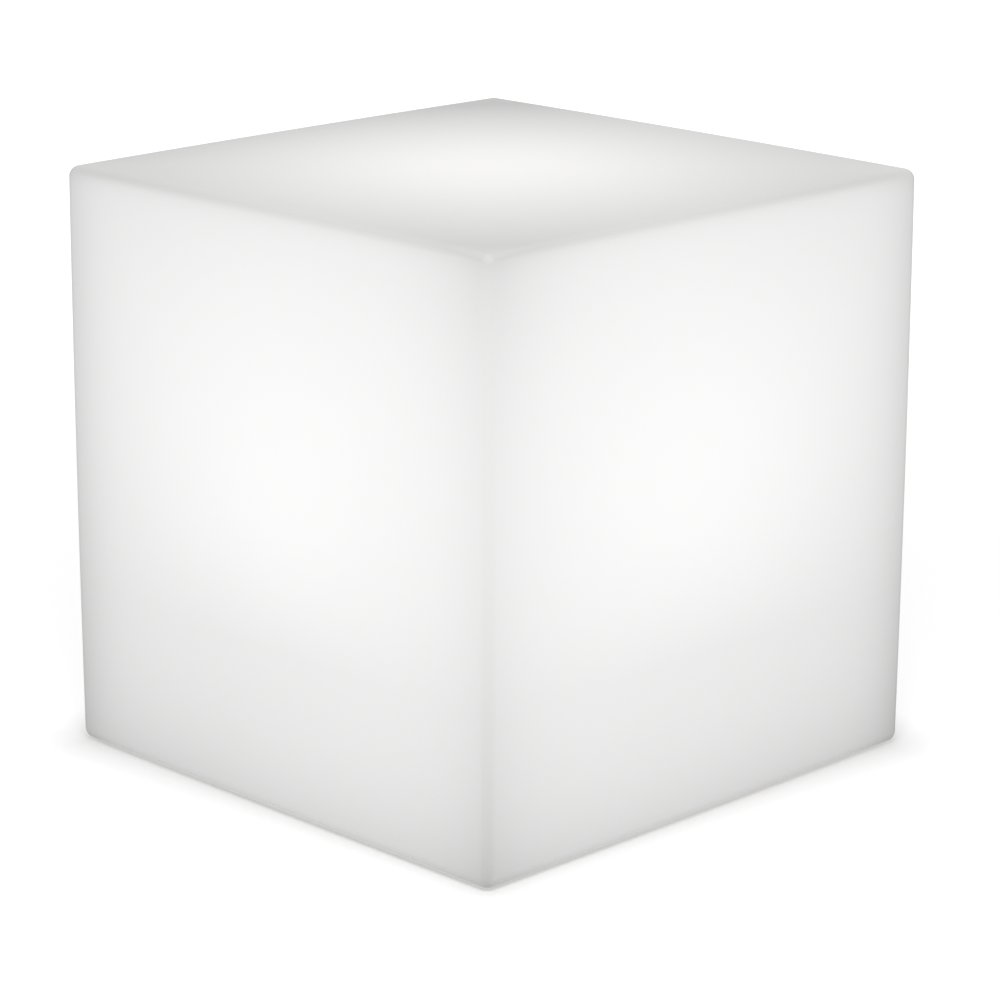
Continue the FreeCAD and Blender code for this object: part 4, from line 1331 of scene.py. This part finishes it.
# ------------------------------------------------------------------ what the shell carries
STEEL = Metal("screw_steel", (0.62, 0.62, 0.61), 0.28)
GASKET = Moulded("gasket_rubber", (0.055, 0.055, 0.058), 0.75, 1200.0, rubbed=0.12)
SEAL = Moulded("seal_rubber", (0.30, 0.05, 0.04), 0.6, 1200.0, rubbed=0.1)


@dataclass
class RubberFeet:
    """Four feet, each a grooved pad with a stem that is pressed into the shell."""

    pad: float = 0.013
    thickness: float = 0.004
    stem: float = 0.004
    top: float = 0.012
    rounding: float = 0.0008
    grooves: tuple[float, ...] = (0.0035, 0.0065, 0.0095)
    groove_width: float = 0.0012
    groove_depth: float = 0.0007
    steps: int = 64
    finish: Finish = Moulded("foot_rubber", (0.045, 0.045, 0.047), 0.7, 700.0, 0.00006,
                             rubbed=0.12, sheen=0.15, dust=0.22)

    def profile(self) -> Grid:
        """The foot's outline, from the middle of its sole to the stem's top.

        Returns:
            The (radius, level) points.
        """
        sole = [(0.0, 0.0)]
        for middle in self.grooves:
            near, far = middle - self.groove_width / 2, middle + self.groove_width / 2
            sole += [(near, 0.0), (near, self.groove_depth), (far, self.groove_depth), (far, 0.0)]
        bend = arc((self.pad - self.rounding, self.rounding), self.rounding, 270)
        above = [(self.pad, self.thickness), (self.stem, self.thickness), (self.stem, self.top),
                 (0.0, self.top)]
        return np.concatenate([np.array(sole), bend, np.array(above)])

    def build(self, bench: Bench) -> None:
        """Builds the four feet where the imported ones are.

        Args:
            bench: where the pieces are dressed.
        """
        for name in ("foot_front_left", "foot_front_right", "foot_back_left", "foot_back_right"):
            low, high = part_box(name)
            middle = (low + high) / 2
            patch = turned(self.profile(), self.steps, (middle.x, middle.y, 0.0))
            foot = surface_object(name.replace("foot", "grooved_foot"), [patch])
            bench.add(foot, self.finish, "shell", name)


@dataclass
class PortCollar:
    """The threaded collar under the cube, with its gasket, screws, nuts and the unit's seal."""

    dot_ring: float = 0.064
    dot_radius: float = 0.0009
    dot_angle: float = -90.0
    dot_steps: tuple[int, int] = (5, 20)
    finish: Finish = Moulded("collar_plastic", (0.72, 0.72, 0.71), 0.42)

    def closed_mark(self) -> Patch:
        """A raised dome that the cap's pointer meets when the unit is screwed home.

        The point at angle b from its edge and angle a round it is (R cos b cos a, R cos b sin a,
        -R sin b), below the collar's face.

        Returns:
            The dome, closed above the face.
        """
        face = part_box("port_collar")[0].z
        down, round_it = self.dot_steps
        dome = arc((0.0, 0.0), self.dot_radius, 0, -90, down)
        foot = np.array([(0.0, self.dot_radius / 2), (self.dot_radius, self.dot_radius / 2)])
        x, y, _ = self.dot_ring * level_directions(np.array([self.dot_angle]))[0]
        return turned(np.concatenate([foot, dome]), round_it, (x, y, face))

    def build(self, bench: Bench) -> None:
        """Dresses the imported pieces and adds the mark."""
        bench.dress({
            "port_collar": self.finish,
            "collar_gasket": GASKET,
            "threaded_inserts": Metal("insert_brass", (0.80, 0.60, 0.28)),
            "collar_screws": STEEL,
            "unit_seal": SEAL,
        })
        bench.add(surface_object("closed_mark", [self.closed_mark()]), self.finish, "shell")


# ------------------------------------------------------------------ the light unit
@dataclass
class CapUnit:
    """The cap with its grip, button, socket cover, breather and light pipe."""

    face: float = 0.006
    rim: float = 0.056
    rib_count: int = 9
    rib_spacing: float = 0.004
    rib_half: float = 0.0042
    rib_size: Pair = (0.0014, 0.0005)
    knurl_count: int = 72
    knurl_levels: Pair = (0.0074, 0.0096)
    knurl_size: Pair = (0.0018, 0.00045)
    pointer: Pair = (0.0500, 0.0545)
    pointer_angle: float = -90.0
    pointer_size: Pair = (0.0012, 0.0005)
    ring_radius: float = 0.0045
    ring_thickness: float = 0.0003
    ring_steps: tuple[int, int] = (10, 48)
    button_centre: Pair = (0.0, -0.033)
    plastic: Finish = Moulded("cap_plastic", (0.74, 0.74, 0.73), 0.45, 800.0, 0.00005)
    button: Finish = Moulded("button_rubber", (0.17, 0.18, 0.19), 0.6, 1000.0,
                             rubbed=0.2, sheen=0.2)
    cover: Finish = Moulded("cover_rubber", (0.15, 0.16, 0.17), 0.62, 1000.0,
                            rubbed=0.2, sheen=0.2)

    def grip_ribs(self) -> list[Patch]:
        """Ribs across the bar between the finger pockets.

        Returns:
            One patch for each rib.
        """
        x = (np.arange(self.rib_count) - (self.rib_count - 1) / 2) * self.rib_spacing
        row = np.stack([x, np.full_like(x, self.rib_half), np.full_like(x, self.face)], -1)
        return ridges(row * [1, -1, 1], row, np.tile(DOWN, (self.rib_count, 1)), self.rib_size)

    def rim_knurl(self) -> list[Patch]:
        """Short upright ridges round the cap's rim, for wet hands.

        Returns:
            One patch for each ridge.
        """
        out = level_directions(np.arange(self.knurl_count) * TURN / self.knurl_count)
        low, high = (out * self.rim + [0.0, 0.0, level] for level in self.knurl_levels)
        return ridges(low, high, out, self.knurl_size)

    def turn_pointer(self) -> list[Patch]:
        """A raised line at the cap's edge that meets the collar's mark.

        Returns:
            The line's patch.
        """
        out = level_directions(np.array([self.pointer_angle]))
        inner, outer = (out * radius + [0.0, 0.0, self.face] for radius in self.pointer)
        return ridges(inner, outer, np.array([DOWN]), self.pointer_size)

    def button_ring(self) -> Patch:
        """A raised ring on the button's face, found with a fingertip: a circle turned about it.

        Returns:
            The ring.
        """
        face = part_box("power_button")[0].z
        across, round_it = self.ring_steps
        circle = arc((self.ring_radius, 0.0), self.ring_thickness, 0, TURN, across)
        return turned(circle, round_it, (*self.button_centre, face))

    def build(self, bench: Bench) -> None:
        """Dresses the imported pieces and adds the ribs, knurl, pointer and ring.

        Args:
            bench: where the pieces are dressed.
        """
        vent = Moulded("vent_plastic", (0.09, 0.09, 0.095), 0.5, 1200.0, rubbed=0.15)
        bench.dress({
            "base_cap": self.plastic,
            "power_button": self.button,
            "button_boot": Moulded("boot_rubber", (0.36, 0.36, 0.35), 0.5, 1400.0, rubbed=0.1),
            "switch_body": Moulded("switch_plastic", (0.03, 0.03, 0.032), 0.4, 1500.0, rubbed=0.1),
            "switch_plunger": Moulded("plunger_plastic", (0.60, 0.07, 0.05), 0.4, 1500.0,
                                      rubbed=0.1),
            "charge_socket": Moulded("socket_plastic", (0.035, 0.035, 0.037), 0.45, 1500.0,
                                     rubbed=0.1),
            "socket_pin": Metal("pin_metal", (0.80, 0.68, 0.40), 0.2),
            "charge_cover": self.cover,
            "cover_tether": self.cover,
            "breather_vent": vent,
            "vent_nut": vent,
            "status_light_pipe": Luminous("pipe_acrylic", (0.86, 0.92, 0.88), (0.35, 1.0, 0.45),
                                          0.25, 0.12, 0.9),
        })
        for name, patches, finish, body in (
                ("grip_ribs", self.grip_ribs(), self.plastic, "light_unit"),
                ("rim_knurl", self.rim_knurl(), self.plastic, "light_unit"),
                ("turn_pointer", self.turn_pointer(), self.plastic, "light_unit"),
                ("button_ring", [self.button_ring()], self.button, "button")):
            bench.add(surface_object(name, patches, Shade.SMOOTH), finish, body)


@dataclass
class ControlBoard:
    """The round board over the cap's floor, with its parts and posts."""

    lacquer: Finish = SolderMask("board_green", (0.018, 0.13, 0.05), (0.05, 0.26, 0.09))
    casings: Finish = Moulded("component_black", (0.028, 0.028, 0.03), 0.5, 1800.0, rubbed=0.1)
    brass: Finish = Metal("standoff_brass", (0.78, 0.60, 0.30), 0.25)

    def build(self, bench: Bench) -> None:
        """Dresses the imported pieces."""
        bench.dress({"control_board": self.lacquer, "board_components": self.casings,
                     "board_standoffs": self.brass})


@dataclass
class BatteryPack:
    """Two cells in their tray, with contacts, strap and screws."""

    black: Colour = (0.05, 0.05, 0.055)
    sleeve: Finish = CellSleeve()
    nickel: Finish = Metal("contact_nickel", (0.70, 0.68, 0.63), 0.25)

    def build(self, bench: Bench) -> None:
        """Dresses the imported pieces."""
        bench.dress({
            "battery_tray": Moulded("tray_plastic", self.black, 0.5, 1000.0, rubbed=0.15),
            "battery_cell_front": self.sleeve,
            "battery_cell_back": self.sleeve,
            "cell_contacts": self.nickel,
            "battery_strap": Moulded("strap_plastic", self.black, 0.5, 1000.0, rubbed=0.15),
            "tray_screws": STEEL,
        })


@dataclass
class LampHead:
    """The plate, the board with its lamps, the lead, and the milky dome over them."""

    def build(self, bench: Bench) -> None:
        """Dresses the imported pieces."""
        bench.dress({
            "lamp_plate": Metal("plate_aluminium", (0.72, 0.73, 0.74), 0.35, 2200.0),
            "plate_screws": STEEL,
            "lamp_board": SolderMask("lamp_board_white", (0.78, 0.78, 0.77), (0.70, 0.70, 0.69)),
            "lamp_board_screws": STEEL,
            "lamps": Luminous("lamp_phosphor", (0.85, 0.72, 0.30), (1.0, 0.86, 0.60), 0.7, 0.35),
            "lead_grommet": SEAL,
            "lamp_lead": Moulded("lead_jacket", (0.72, 0.72, 0.71), 0.5, 1500.0, rubbed=0.1),
            "lead_plugs": Moulded("plug_plastic", (0.68, 0.67, 0.63), 0.45, 1500.0, rubbed=0.1),
            "light_dome": Luminous("dome_plastic", (0.85, 0.85, 0.84), (1.0, 0.98, 0.94), 0.45,
                                   0.4, 0.3),
            "dome_gasket": GASKET,
            "dome_screws": STEEL,
        })


def main() -> None:
    """Builds the scene piece by piece, and logs each piece as it is built."""
    logging.basicConfig(level=logging.INFO, format="%(name)s: %(message)s")
    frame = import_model()
    bench = Bench(frame["nodes"], Effects())
    for part in (CubeShell(), RubberFeet(), PortCollar(), CapUnit(), ControlBoard(), BatteryPack(),
                 LampHead()):
        LOG.info("--- %s", type(part).__name__)
        part.build(bench)
    Studio().build()
    scene = bpy.context.scene
    scene.view_settings.view_transform = "Standard"


if __name__ == "__main__":
    main()
